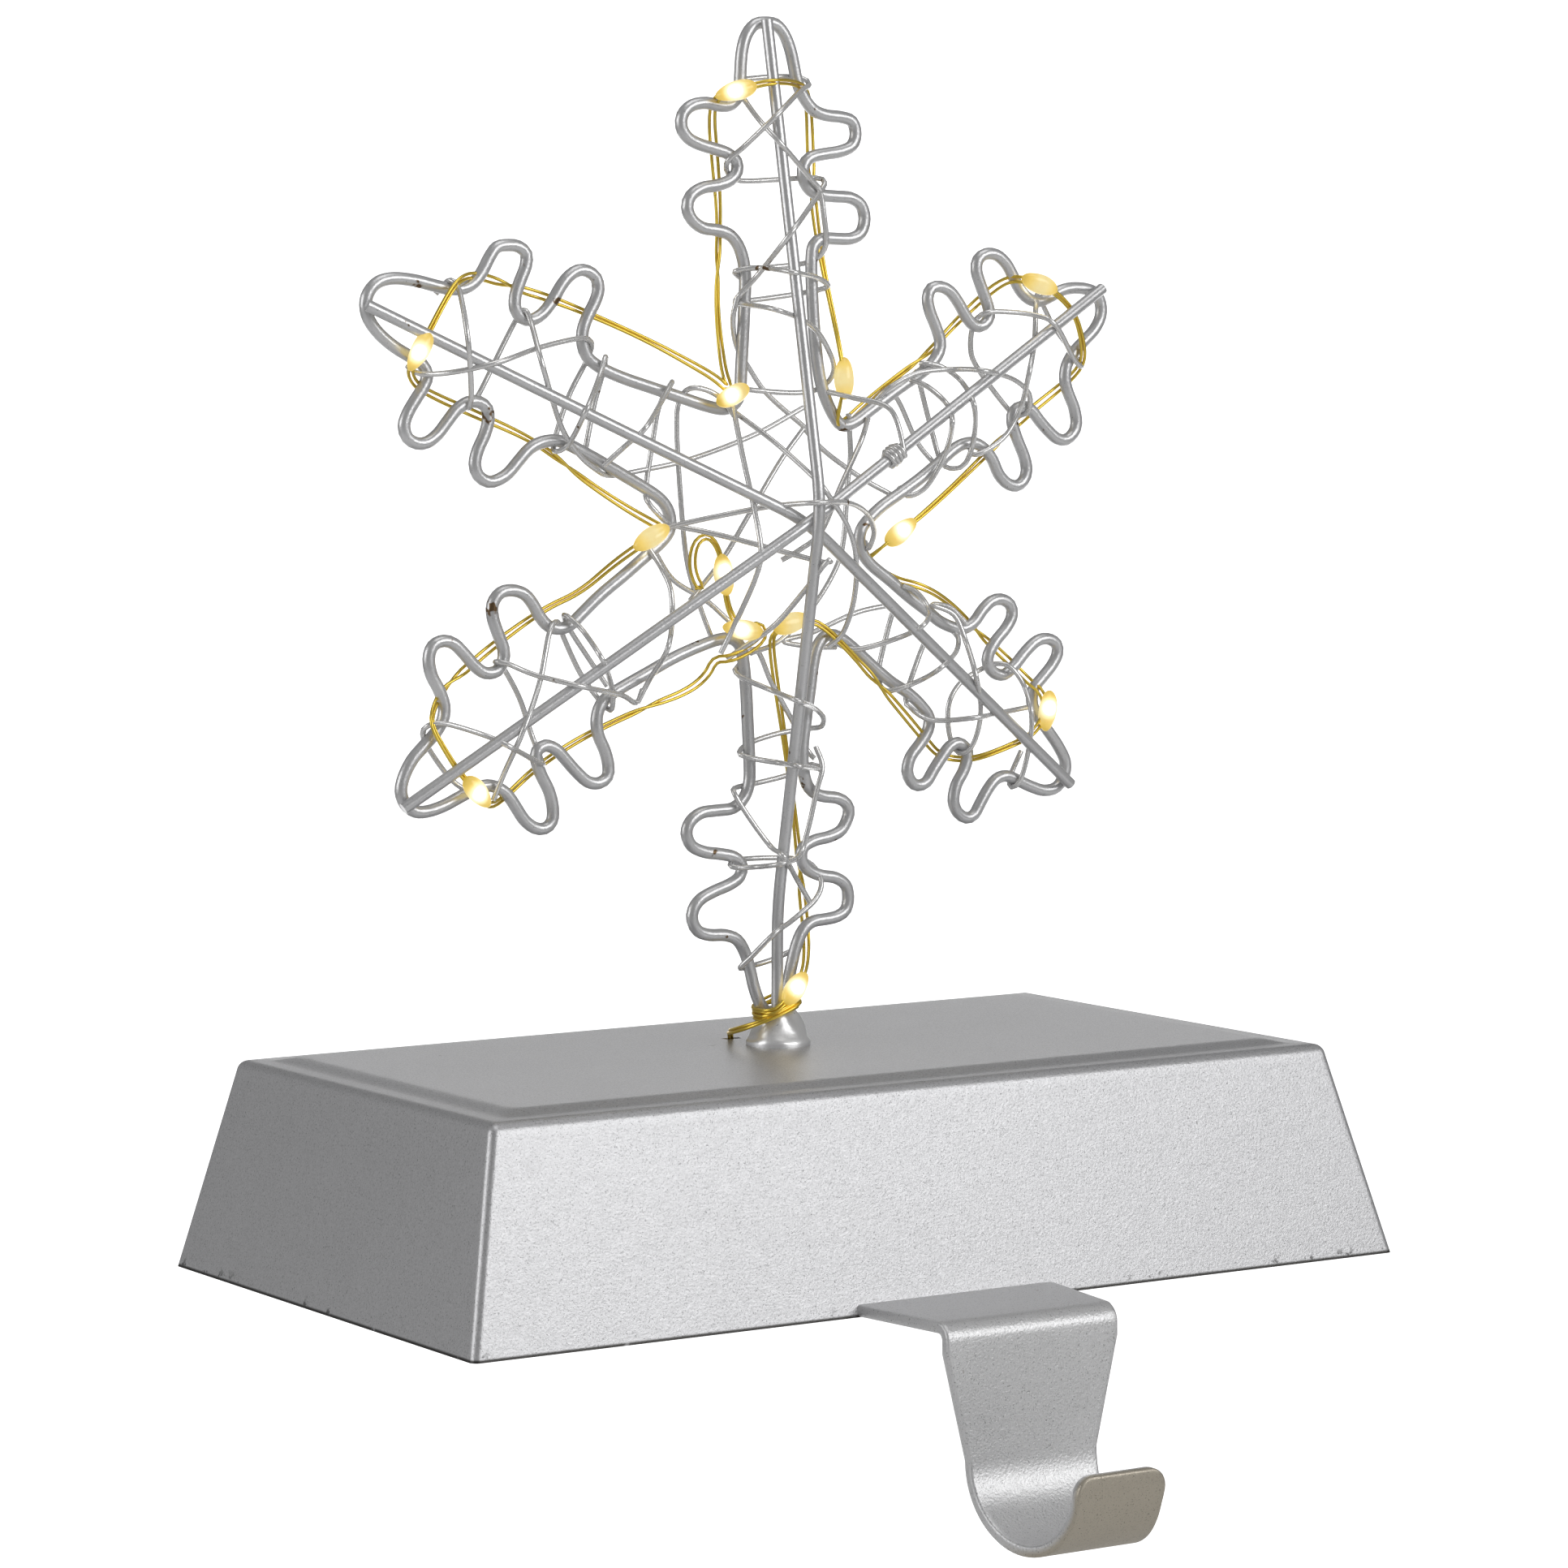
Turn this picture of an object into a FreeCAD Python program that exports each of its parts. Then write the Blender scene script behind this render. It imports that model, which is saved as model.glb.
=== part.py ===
import FreeCAD, Part
import math
import os

# Mantel stocking holder: a hollow pressed base with a sheet-metal stocking hook under its front,
# and a wire snowflake with a string of small lamps standing on its top.
# Millimetres. The origin is on the mantel face, under the middle of the base: +Z up, the hook
# towards -Y, the long side along X.

Vec = FreeCAD.Vector

# Points nearer than this are one point
SEAM = 0.001
# How far a cutting tool runs past the faces that it cuts through
OVER = 1.0

# Base shell, measured at its lower edge and at its top edge
BASE_LENGTH = 150.0
BASE_WIDTH = 90.0
BASE_HEIGHT = 30.0
SIDE_TAPER = 7.0
BASE_WALL = 1.2
BASE_EDGE_R = 2.2
PLATEAU_INSET = 3.2
PLATEAU_RISE = 0.7
PLATEAU_CORNER_R = 2.0
PLATEAU_EDGE_R = 0.5

# Mantel pad and bottom plate
PAD_PROUD = 0.3
PAD_GAP = 0.4
PLATE_THICKNESS = 1.2
PLATE_GAP = 0.3
CUTOUT_GAP = 0.5

# Stocking hook, one folded strip
STRIP_THICKNESS = 1.7
STRIP_HALF_AT_WALL = 16.0
STRIP_HALF_AT_BEND = 13.8
STRIP_HALF_AT_TURN = 10.3
STRIP_HALF_AT_TIP = 6.9
STRIP_TRAY_GAP = 4.5
HOOK_REACH = 18.5
HOOK_BEND_R = 2.6
HOOK_TURN_DROP = 17.4
HOOK_TURN_R = 9.4
HOOK_TIP_RISE = 1.2
HOOK_TIP_CORNER_R = 3.2
HOOK_TIP_FLARE = 0.6
NOTCH_GAP = 0.2

# Screws, nuts and posts
PLATE_SCREW_D = 3.0
PLATE_SCREW_HEAD_D = 5.6
PLATE_SCREW_HEAD_H = 1.5
PLATE_SCREW_LENGTH = 9.0
THREAD_DEPTH = 0.2
SHANK_GAP = 0.1
SLOT_LENGTH = 6.0
SLOT_WIDTH = 0.9
SLOT_DEPTH = 0.6
POST_D = 7.0
POST_INSET_X = 15.0
POST_INSET_Y = 14.0
POST_X = BASE_LENGTH / 2 - POST_INSET_X
POST_Y = BASE_WIDTH / 2 - POST_INSET_Y
HOOK_SCREW_D = 4.0
HOOK_SCREW_HEAD_D = 7.2
HOOK_SCREW_HEAD_H = 1.5
HOOK_NUT_ACROSS = 7.0
HOOK_NUT_H = 3.2
HOOK_SCREW_FRONT_INSET = 9.0
HOOK_SCREW_TAIL_INSET = 8.8
HOOK_SCREW_PROUD = 1.0
HEAD_ACCESS_GAP = 0.8

# Cast weights at the two ends
WEIGHT_WALL_GAP = 9.0
WEIGHT_POST_GAP = 4.5
WEIGHT_TRAY_GAP = 6.9
WEIGHT_HEIGHT = 18.0
WEIGHT_EDGE_R = 2.0

# Battery tray with two cells
CELL_D = 14.5
CELL_LENGTH = 49.2
CELL_NUB_D = 5.5
CELL_NUB_LENGTH = 1.3
CELL_GAP = 0.4
TRAY_WALL = 1.5
TRAY_BACK_GAP = 0.5
RIB_LENGTH = 24.6
RIB_WIDTH = 0.2
RIB_DEPTH = 4.8
CONTACT_ROOM = 2.4
CONTACT_SHEET = 0.4
CONTACT_HALF = 5.0
CONTACT_END_GAP = 1.0
LEAF_WIDTH = 4.0
LEAF_FLAT = 1.6
DIMPLE_BASE_D = 6.0
DIMPLE_TIP_D = 4.0
COVER_THICKNESS = 1.5
COVER_GAP = 0.4
COVER_LIFT = 0.45
COVER_CORNER_R = 1.2
GRIP_GROOVES = 5
GRIP_LENGTH = 18.0
GRIP_WIDTH = 1.0
GRIP_DEPTH = 0.4
GRIP_PITCH = 3.0
GRIP_INSET = 9.0
HINGE_PIN_D = 1.4
HINGE_PIN_GAP = 0.05
HINGE_KNUCKLE_R = 1.2
HINGE_KNUCKLE_LENGTH = 4.0
HINGE_KNUCKLE_X = 16.0
HINGE_EAR_T = 2.2
HINGE_SIDE_GAP = 0.3
HINGE_ROOM_H = 2.0
HINGE_EAR_H = 3.0
FINGER_NOTCH_R = 5.0

# Switch and control board
SWITCH_X = -25.0
SWITCH_Y = -20.0
SWITCH_LENGTH = 9.0
SWITCH_WIDTH = 5.0
SWITCH_HEIGHT = 5.0
SWITCH_WALL = 0.8
SLIDER_LENGTH = 3.6
SLIDER_KNOB = 2.0
SLIDER_TRAVEL = 2.0
SLIDER_GAP = 0.15
BOARD_LENGTH = 24.0
BOARD_WIDTH = 14.0
BOARD_THICKNESS = 1.2
BOARD_HOLE_D = 1.2
BOARD_HOLE_INSET = 3.0
RESISTOR_D = 2.2
RESISTOR_LENGTH = 6.0
RESISTOR_OFFSET = 3.5
RESISTOR_LEG = 0.6
LEAD_D = 1.1
LEAD_BEND_R = 1.6
LEAD_LEVELS = [0.18, 0.4]
LEAD_BESIDE_TRAY = 1.2

# Foot of the snowflake on the base
FOOT_X = 1.0
FOOT_Y = 3.0
FOOT_D = 9.4
FOOT_TOP_D = 5.2
FOOT_RIM_H = 0.7
FOOT_HEIGHT = 5.4
SOLDER_GAP = 0.3
# How far below the cone's top the axis of the lowest wire lies
TIP_SUNK = 1.1
FOOT_STUD_D = 3.0
FOOT_STUD_PROUD = 0.6
FOOT_NUT_ACROSS = 5.5
FOOT_NUT_H = 2.4
FOOT_WASHER_D = 8.0
FOOT_WASHER_T = 0.6
FOOT_STUD_LENGTH = PLATEAU_RISE + BASE_WALL + FOOT_WASHER_T + FOOT_NUT_H + FOOT_STUD_PROUD
LAMP_HOLE_X = FOOT_X - 2.3
LAMP_HOLE_Y = FOOT_Y + 9.3
LAMP_HOLE_D = 3.0

# Snowflake: one closed wire, bent by hand, in a plane parallel to the base's long side
WIRE_D = 1.8
WIRE_SIDES = 6
FLAKE_X = 0.0
ARM_REACH = 70.0
# Each arm: its direction in degrees and how far it reaches
ARMS = [(89.0, ARM_REACH + 0.3), (153.2, ARM_REACH), (212.3, ARM_REACH),
        (269.5, ARM_REACH + 1.0), (322.4, ARM_REACH - 3.7), (388.3, ARM_REACH - 3.3)]
# The valley after each arm: its direction in degrees and its distance from the middle
VALLEYS = [(108.2, 16.8), (183.4, 17.0), (254.0, 18.4), (296.6, 19.0), (346.6, 17.4), (405.7, 18.0)]
VALLEY_R = 1.7
STEM_HALF = 5.7
SHOULDER_R = 3.4
# How far across its arm a knob or neck reaches, where it starts and ends as shares of the arm's
# reach, and its bends' radius
INNER_KNOB = (14.9, 0.577, 0.659, 2.8)
NECK = (6.2, 0.67, 0.727, 1.9)
OUTER_KNOB = (14.4, 0.737, 0.826, 3.0)
THROAT_HALF = 5.4
THROAT_R = 3.6
TIP_HALF = 3.5
TIP_R = 2.8

# Ridge rods, bowed forward over the middle
ROD_D = 1.5
ROD_SIDES = 8
ROD_BOW = 14.0
ROD_PEAK_R = 30.0
ROD_OVERHANG = 0.4
ROD_SPACING = ROD_D + 0.08

# Binding wire round the arms
BINDING_D = 0.7
BINDING_SIDES = 4
BINDING_REST = 0.18
# Where it goes round each arm, in shares of the arm's reach
BINDING_STATIONS = [0.893, 0.699, 0.507, 0.436, 0.35]

# Lamp string: a pair of enamelled wires and clear drop-shaped lamps
LAMP_WIRE_D = 0.7
LAMP_WIRE_SIDES = 4
LAMP_D = 3.4
LAMP_LENGTH = 6.0
LAMP_SIDES = 6
LAMP_END_D = LAMP_WIRE_D * 1.4
LAMP_BELLY = 0.3 * LAMP_LENGTH
LAMP_RUN_LEVEL = 0.37

EDGE_Z = PAD_PROUD
TOP_Z = EDGE_Z + BASE_HEIGHT
FACE_Z = TOP_Z + PLATEAU_RISE
PLATE_Z = EDGE_Z + STRIP_THICKNESS
FLOOR_Z = PLATE_Z + PLATE_THICKNESS
WALL_Y = -BASE_WIDTH / 2
LEG_Y = WALL_Y - HOOK_REACH
FLAKE_Z = FACE_Z + FOOT_HEIGHT - TIP_SUNK + ARMS[3][1]
SLOPE = SIDE_TAPER / BASE_HEIGHT


def box(x0, x1, y0, y1, z0, z1):
    return Part.makeBox(x1 - x0, y1 - y0, z1 - z0, Vec(x0, y0, z0))


def rounded_rectangle(half_x, half_y, radius, z):
    corners = [(half_x, half_y), (-half_x, half_y), (-half_x, -half_y), (half_x, -half_y)]
    path = [(Vec(x, y, z), radius) for x, y in corners]
    return Part.Wire(rounded_run(path, True))


def rounded_run(path, closed):
    """Straight runs joined by tangent arcs; path is a list of (corner, arc radius)."""
    count = len(path)
    cuts = []
    for i, (corner, radius) in enumerate(path):
        if not closed and i in (0, count - 1):
            cuts.append((corner, None, corner))
            continue
        before = path[i - 1][0].sub(corner).normalize()
        after = path[(i + 1) % count][0].sub(corner).normalize()
        half = before.getAngle(after) / 2
        reach = radius / math.tan(half)
        centre_way = (before + after).normalize()
        middle = corner + centre_way * (radius / math.sin(half) - radius)
        cuts.append((corner + before * reach, middle, corner + after * reach))
    edges = []
    last = count if closed else count - 1
    for i in range(count):
        enter, middle, leave = cuts[i]
        if middle is not None:
            edges.append(Part.Arc(enter, middle, leave).toShape())
        if i < last:
            following = cuts[(i + 1) % count][0]
            if leave.distanceToPoint(following) > SEAM:
                edges.append(Part.LineSegment(leave, following).toShape())
    return edges


def section_radius(size, sides):
    return size / 2 * math.sqrt(2 * math.pi / (sides * math.sin(2 * math.pi / sides)))


def polygon_section(size, sides, centre, direction, up):
    """A regular section with the same area as a round one of this size."""
    radius = section_radius(size, sides)
    across = direction.cross(up).normalize()
    over = across.cross(direction).normalize()
    points = []
    for i in range(sides + 1):
        turn = 2 * math.pi * (i + 0.5) / sides
        points.append(centre + across * (radius * math.cos(turn)) + over * (radius * math.sin(turn)))
    points[-1] = points[0]
    return Part.makePolygon(points)


def frustum(half_x, half_y, z0, z1):
    """A block that tapers as the base's sides do; the half sizes are those at z0."""
    taper = SLOPE * (z1 - z0)
    signs = [(1, 1), (-1, 1), (-1, -1), (1, -1)]
    low = [Vec(i * half_x, j * half_y, z0) for i, j in signs]
    high = [Vec(i * (half_x - taper), j * (half_y - taper), z1) for i, j in signs]
    outlines = [low[::-1], high] + [[low[i - 1], low[i], high[i], high[i - 1]] for i in range(4)]
    return Part.makeSolid(Part.makeShell([Part.Face(Part.makePolygon(o + [o[0]])) for o in outlines]))


def upright_edges(block):
    return [e for e in block.Edges if abs(e.Vertexes[0].Z - e.Vertexes[1].Z) > SEAM]


def top_edges(block, z):
    return [e for e in block.Edges if min(v.Z for v in e.Vertexes) > z - SEAM]


def inside_half(full_size, z, gap):
    """Half the room inside the shell at height z, less a gap."""
    return full_size / 2 - BASE_WALL - SLOPE * (z - EDGE_Z) - gap


def corner_posts():
    return [Vec(x, y, 0) for x in (-POST_X, POST_X) for y in (-POST_Y, POST_Y)]


def hook_screw_places():
    first = WALL_Y + BASE_WALL + HOOK_SCREW_FRONT_INSET
    return [Vec(0, first, 0), Vec(0, strip_tail() - HOOK_SCREW_TAIL_INSET, 0)]


def strip_tail():
    """Where the strip ends under the base, short of the battery tray."""
    return tray_rows()[0] - TRAY_WALL - STRIP_TRAY_GAP


def base_shell():
    outer = frustum(BASE_LENGTH / 2, BASE_WIDTH / 2, EDGE_Z, TOP_Z)
    outer = outer.makeFillet(BASE_EDGE_R, upright_edges(outer) + top_edges(outer, TOP_Z))
    half_x = BASE_LENGTH / 2 - SIDE_TAPER - PLATEAU_INSET
    half_y = BASE_WIDTH / 2 - SIDE_TAPER - PLATEAU_INSET
    low = rounded_rectangle(half_x, half_y, PLATEAU_CORNER_R, TOP_Z - PLATEAU_RISE)
    plateau = Part.Face(low).extrude(Vec(0, 0, 2 * PLATEAU_RISE))
    plateau = plateau.makeFillet(PLATEAU_EDGE_R, top_edges(plateau, FACE_Z))
    outer = outer.fuse(plateau).removeSplitter()
    ceiling = TOP_Z - BASE_WALL
    cavity = frustum(BASE_LENGTH / 2 - BASE_WALL, BASE_WIDTH / 2 - BASE_WALL, EDGE_Z, ceiling)
    shell = outer.cut(cavity)
    posts = [Part.makeCylinder(POST_D / 2, ceiling - FLOOR_Z + BASE_WALL / 2, Vec(p.x, p.y, FLOOR_Z))
             for p in corner_posts()]
    shell = shell.multiFuse(posts)
    holes = [Part.makeCylinder(PLATE_SCREW_D / 2 - THREAD_DEPTH, PLATE_SCREW_LENGTH + OVER,
                               Vec(p.x, p.y, FLOOR_Z)) for p in corner_posts()]
    notch_half = STRIP_HALF_AT_WALL + NOTCH_GAP
    holes.append(box(-notch_half, notch_half, WALL_Y - OVER, WALL_Y + 2 * BASE_WALL,
                     EDGE_Z - OVER, PLATE_Z + NOTCH_GAP))
    holes.append(Part.makeCylinder(FOOT_STUD_D / 2 + SHANK_GAP, 4 * BASE_WALL,
                                   Vec(FOOT_X, FOOT_Y, ceiling - BASE_WALL)))
    holes.append(Part.makeCylinder(LAMP_HOLE_D / 2, 4 * BASE_WALL,
                                   Vec(LAMP_HOLE_X, LAMP_HOLE_Y, ceiling - BASE_WALL)))
    return shell.cut(Part.makeCompound(holes))


def tray_end():
    """Half the length of the room for the two cells and their contacts."""
    return CELL_LENGTH / 2 + CELL_NUB_LENGTH / 2 + CONTACT_ROOM


def tray_top():
    return FLOOR_Z + CELL_D + 2 * CELL_GAP


def tray_rows():
    """The front and the back of the cells' room; it stands close to the shell's rear wall."""
    back = inside_half(BASE_WIDTH, tray_top() + TRAY_WALL, TRAY_BACK_GAP)
    rear = back - TRAY_WALL - 2 * (HINGE_KNUCKLE_R + COVER_GAP)
    return rear - 2 * CELL_D - 3 * CELL_GAP, rear


def cover_opening():
    """The opening under the tray, with the hinge's room at the back."""
    return -tray_end(), tray_end(), tray_rows()[0], hinge_axis_y() + HINGE_KNUCKLE_R + COVER_GAP


def hinge_axis_y():
    return tray_rows()[1] + HINGE_KNUCKLE_R + COVER_GAP


def hinge_axis_z():
    return COVER_LIFT + COVER_THICKNESS / 2


def switch_window(gap):
    half_x = SLIDER_KNOB / 2 + SLIDER_TRAVEL / 2 + gap
    half_y = SLIDER_KNOB / 2 + gap
    return SWITCH_X - half_x, SWITCH_X + half_x, SWITCH_Y - half_y, SWITCH_Y + half_y


def bottom_plate():
    half_x = inside_half(BASE_LENGTH, FLOOR_Z, PLATE_GAP)
    half_y = inside_half(BASE_WIDTH, FLOOR_Z, PLATE_GAP)
    blank = rounded_rectangle(half_x, half_y, BASE_EDGE_R, PLATE_Z)
    plate = Part.Face(blank).extrude(Vec(0, 0, PLATE_THICKNESS))
    x0, x1, y0, y1 = cover_opening()
    tools = [box(x0, x1, y0, y1, PLATE_Z - OVER, FLOOR_Z + OVER)]
    x0, x1, y0, y1 = switch_window(CUTOUT_GAP)
    tools.append(box(x0, x1, y0, y1, PLATE_Z - OVER, FLOOR_Z + OVER))
    for place in corner_posts():
        tools.append(Part.makeCylinder(PLATE_SCREW_D / 2 + SHANK_GAP, 3 * PLATE_THICKNESS,
                                       Vec(place.x, place.y, PLATE_Z - OVER)))
    for place in hook_screw_places():
        tools.append(Part.makeCylinder(HOOK_SCREW_D / 2 + SHANK_GAP, 3 * PLATE_THICKNESS,
                                       Vec(place.x, place.y, PLATE_Z - OVER)))
    return plate.cut(Part.makeCompound(tools))


def mantel_pad():
    half_x = inside_half(BASE_LENGTH, PLATE_Z, PAD_GAP)
    half_y = inside_half(BASE_WIDTH, PLATE_Z, PAD_GAP)
    pad = Part.Face(rounded_rectangle(half_x, half_y, BASE_EDGE_R, 0)).extrude(Vec(0, 0, PLATE_Z))
    strip_half = STRIP_HALF_AT_WALL + CUTOUT_GAP
    tail_y = strip_tail() + CUTOUT_GAP
    tools = [box(-strip_half, strip_half, WALL_Y, tail_y, -OVER, PLATE_Z + OVER)]
    x0, x1, y0, y1 = cover_opening()
    tools.append(box(x0, x1, y0, y1, -OVER, PLATE_Z + OVER))
    x0, x1, y0, y1 = switch_window(2 * CUTOUT_GAP)
    tools.append(box(x0, x1, y0, y1, -OVER, PLATE_Z + OVER))
    for place in corner_posts():
        tools.append(Part.makeCylinder(PLATE_SCREW_HEAD_D / 2 + HEAD_ACCESS_GAP, PLATE_Z + 2 * OVER,
                                       Vec(place.x, place.y, -OVER)))
    return pad.cut(Part.makeCompound(tools))


def hook_outline():
    """The strip's section, seen from the side, as one closed outline."""
    t = STRIP_THICKNESS
    tail = strip_tail()
    top, low = PLATE_Z, EDGE_Z
    bend_y = LEG_Y + HOOK_BEND_R
    turn_z = EDGE_Z - HOOK_TURN_DROP
    middle_y = LEG_Y - HOOK_TURN_R
    tip_y = LEG_Y - 2 * HOOK_TURN_R
    tip_z = turn_z + HOOK_TIP_RISE
    diagonal = math.sqrt(0.5)
    bend_centre = Vec(0, bend_y, top - HOOK_BEND_R)
    inner_bend_r = HOOK_BEND_R - t

    def on_bend(r):
        return bend_centre + Vec(0, -r * diagonal, r * diagonal)

    def line(y0, z0, y1, z1):
        return Part.LineSegment(Vec(0, y0, z0), Vec(0, y1, z1)).toShape()

    def arc(start, middle, end):
        return Part.Arc(start, middle, end).toShape()

    outer_turn_r = HOOK_TURN_R + t
    edges = [
        line(tail, low, tail, top),
        line(tail, top, bend_y, top),
        arc(Vec(0, bend_y, top), on_bend(HOOK_BEND_R), Vec(0, LEG_Y, top - HOOK_BEND_R)),
        line(LEG_Y, top - HOOK_BEND_R, LEG_Y, turn_z),
        arc(Vec(0, LEG_Y, turn_z), Vec(0, middle_y, turn_z - HOOK_TURN_R), Vec(0, tip_y, turn_z)),
        line(tip_y, turn_z, tip_y, tip_z),
        line(tip_y, tip_z, tip_y - t, tip_z),
        line(tip_y - t, tip_z, tip_y - t, turn_z),
        arc(Vec(0, tip_y - t, turn_z), Vec(0, middle_y, turn_z - outer_turn_r), Vec(0, LEG_Y + t, turn_z)),
        line(LEG_Y + t, turn_z, LEG_Y + t, top - HOOK_BEND_R),
        arc(Vec(0, LEG_Y + t, top - HOOK_BEND_R), on_bend(inner_bend_r), Vec(0, bend_y, low)),
        line(bend_y, low, tail, low),
    ]
    return Part.Wire(edges)


def prism(points, way):
    return Part.Face(Part.makePolygon(points + [points[0]])).extrude(way)


def hook_blank():
    """Where the strip's tapering blank may reach: plate and turn from above, leg from the front."""
    turn_z = EDGE_Z - HOOK_TURN_DROP
    leg_back = LEG_Y + STRIP_THICKNESS
    tip_y = LEG_Y - 2 * HOOK_TURN_R - STRIP_THICKNESS
    tail = strip_tail()
    wall, bend = STRIP_HALF_AT_WALL, STRIP_HALF_AT_BEND
    turn, tip = STRIP_HALF_AT_TURN, STRIP_HALF_AT_TIP
    plate = prism([Vec(-wall, tail, 0), Vec(wall, tail, 0), Vec(wall, WALL_Y, 0), Vec(bend, leg_back, 0),
                   Vec(-bend, leg_back, 0), Vec(-wall, WALL_Y, 0)], Vec(0, 0, PLATE_Z))
    leg = prism([Vec(-bend, leg_back, PLATE_Z), Vec(bend, leg_back, PLATE_Z),
                 Vec(bend, leg_back, EDGE_Z - HOOK_BEND_R), Vec(turn, leg_back, turn_z),
                 Vec(-turn, leg_back, turn_z), Vec(-bend, leg_back, EDGE_Z - HOOK_BEND_R)],
                Vec(0, -2 * STRIP_THICKNESS, 0))
    curl = [Vec(-turn, leg_back, turn_z), Vec(turn, leg_back, turn_z), Vec(tip, tip_y, turn_z),
            Vec(-tip, tip_y, turn_z)]
    below = prism(curl, Vec(0, 0, -2 * HOOK_TURN_R))
    above = prism(curl, Vec(0, 0, HOOK_TIP_RISE))
    tip_depth = 2 * STRIP_THICKNESS + OVER
    low = turn_z - HOOK_TURN_R
    tip_end = rounded_tip(tip, turn_z + HOOK_TIP_RISE, low).extrude(Vec(0, tip_depth, 0))
    tip_end.translate(Vec(0, tip_y - OVER, 0))
    beside = box(-turn, turn, tip_y - OVER, tip_y - OVER + tip_depth, low, turn_z + HOOK_TIP_RISE)
    curl = below.fuse(above)
    return plate.multiFuse([leg, curl.cut(beside.cut(tip_end))])


def rounded_tip(tip, top, low):
    """The tip from the front: wider than its taper below, rounded at its two upper corners."""
    half = STRIP_HALF_AT_TURN
    upper = tip + HOOK_TIP_FLARE
    path = [(Vec(-half, 0, low), SEAM), (Vec(half, 0, low), SEAM),
            (Vec(upper, 0, top), HOOK_TIP_CORNER_R), (Vec(-upper, 0, top), HOOK_TIP_CORNER_R)]
    return Part.Face(Part.Wire(rounded_run(path, True)))


def hook_strip():
    section = Part.Face(hook_outline())
    half = STRIP_HALF_AT_WALL
    band = section.extrude(Vec(2 * half, 0, 0))
    band.translate(Vec(-half, 0, 0))
    strip = band.common(hook_blank())
    for place in hook_screw_places():
        sink = Part.makeCone(HOOK_SCREW_HEAD_D / 2, HOOK_SCREW_D / 2, HOOK_SCREW_HEAD_H,
                             Vec(place.x, place.y, EDGE_Z))
        bore = Part.makeCylinder(HOOK_SCREW_D / 2, 2 * STRIP_THICKNESS, Vec(place.x, place.y, EDGE_Z))
        strip = strip.cut(sink.fuse(bore))
    return strip.removeSplitter()


def hexagon_nut(across, height, bore, place):
    radius = across / math.sqrt(3)
    turns = [math.pi * i / 3 for i in range(6)]
    points = [place + Vec(radius * math.cos(turn), radius * math.sin(turn), 0) for turn in turns]
    return prism(points, Vec(0, 0, height)).cut(Part.makeCylinder(bore / 2, height, place))


def driver_slot(place, low):
    """A straight slot in a screw's head, whose face is at height low."""
    return box(place.x - SLOT_LENGTH / 2, place.x + SLOT_LENGTH / 2, place.y - SLOT_WIDTH / 2,
               place.y + SLOT_WIDTH / 2, low, low + SLOT_DEPTH)


def hook_screws():
    screws = []
    length = STRIP_THICKNESS + PLATE_THICKNESS + HOOK_NUT_H + HOOK_SCREW_PROUD
    for place in hook_screw_places():
        low = Vec(place.x, place.y, EDGE_Z)
        head = Part.makeCone(HOOK_SCREW_HEAD_D / 2, HOOK_SCREW_D / 2, HOOK_SCREW_HEAD_H, low)
        shank = Part.makeCylinder(HOOK_SCREW_D / 2, length, low)
        screws.append(head.fuse(shank).cut(driver_slot(place, EDGE_Z)))
    return Part.makeCompound(screws)


def hook_nuts():
    return Part.makeCompound([hexagon_nut(HOOK_NUT_ACROSS, HOOK_NUT_H, HOOK_SCREW_D,
                                          Vec(p.x, p.y, FLOOR_Z)) for p in hook_screw_places()])


def plate_screws():
    """Pan-head screws that come up through the plate from below."""
    screws = []
    for place in corner_posts():
        low = PLATE_Z - PLATE_SCREW_HEAD_H
        head = Part.makeCylinder(PLATE_SCREW_HEAD_D / 2, PLATE_SCREW_HEAD_H, Vec(place.x, place.y, low))
        shank = Part.makeCylinder(PLATE_SCREW_D / 2 - THREAD_DEPTH, PLATE_SCREW_LENGTH,
                                  Vec(place.x, place.y, PLATE_Z))
        screws.append(head.fuse(shank).cut(driver_slot(place, low)))
    return Part.makeCompound(screws)


def weight(side):
    """A cast block bonded to the plate, between the tray, the end wall and the posts."""
    near = side * (tray_end() + TRAY_WALL + WEIGHT_TRAY_GAP)
    far = side * (BASE_LENGTH / 2 - WEIGHT_WALL_GAP)
    half_y = POST_Y - POST_D / 2 - WEIGHT_POST_GAP
    block = box(min(near, far), max(near, far), -half_y, half_y, FLOOR_Z, FLOOR_Z + WEIGHT_HEIGHT)
    block = block.makeFillet(WEIGHT_EDGE_R, upright_edges(block))
    return block.makeChamfer(WEIGHT_EDGE_R / 2, top_edges(block, FLOOR_Z + WEIGHT_HEIGHT))


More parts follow.
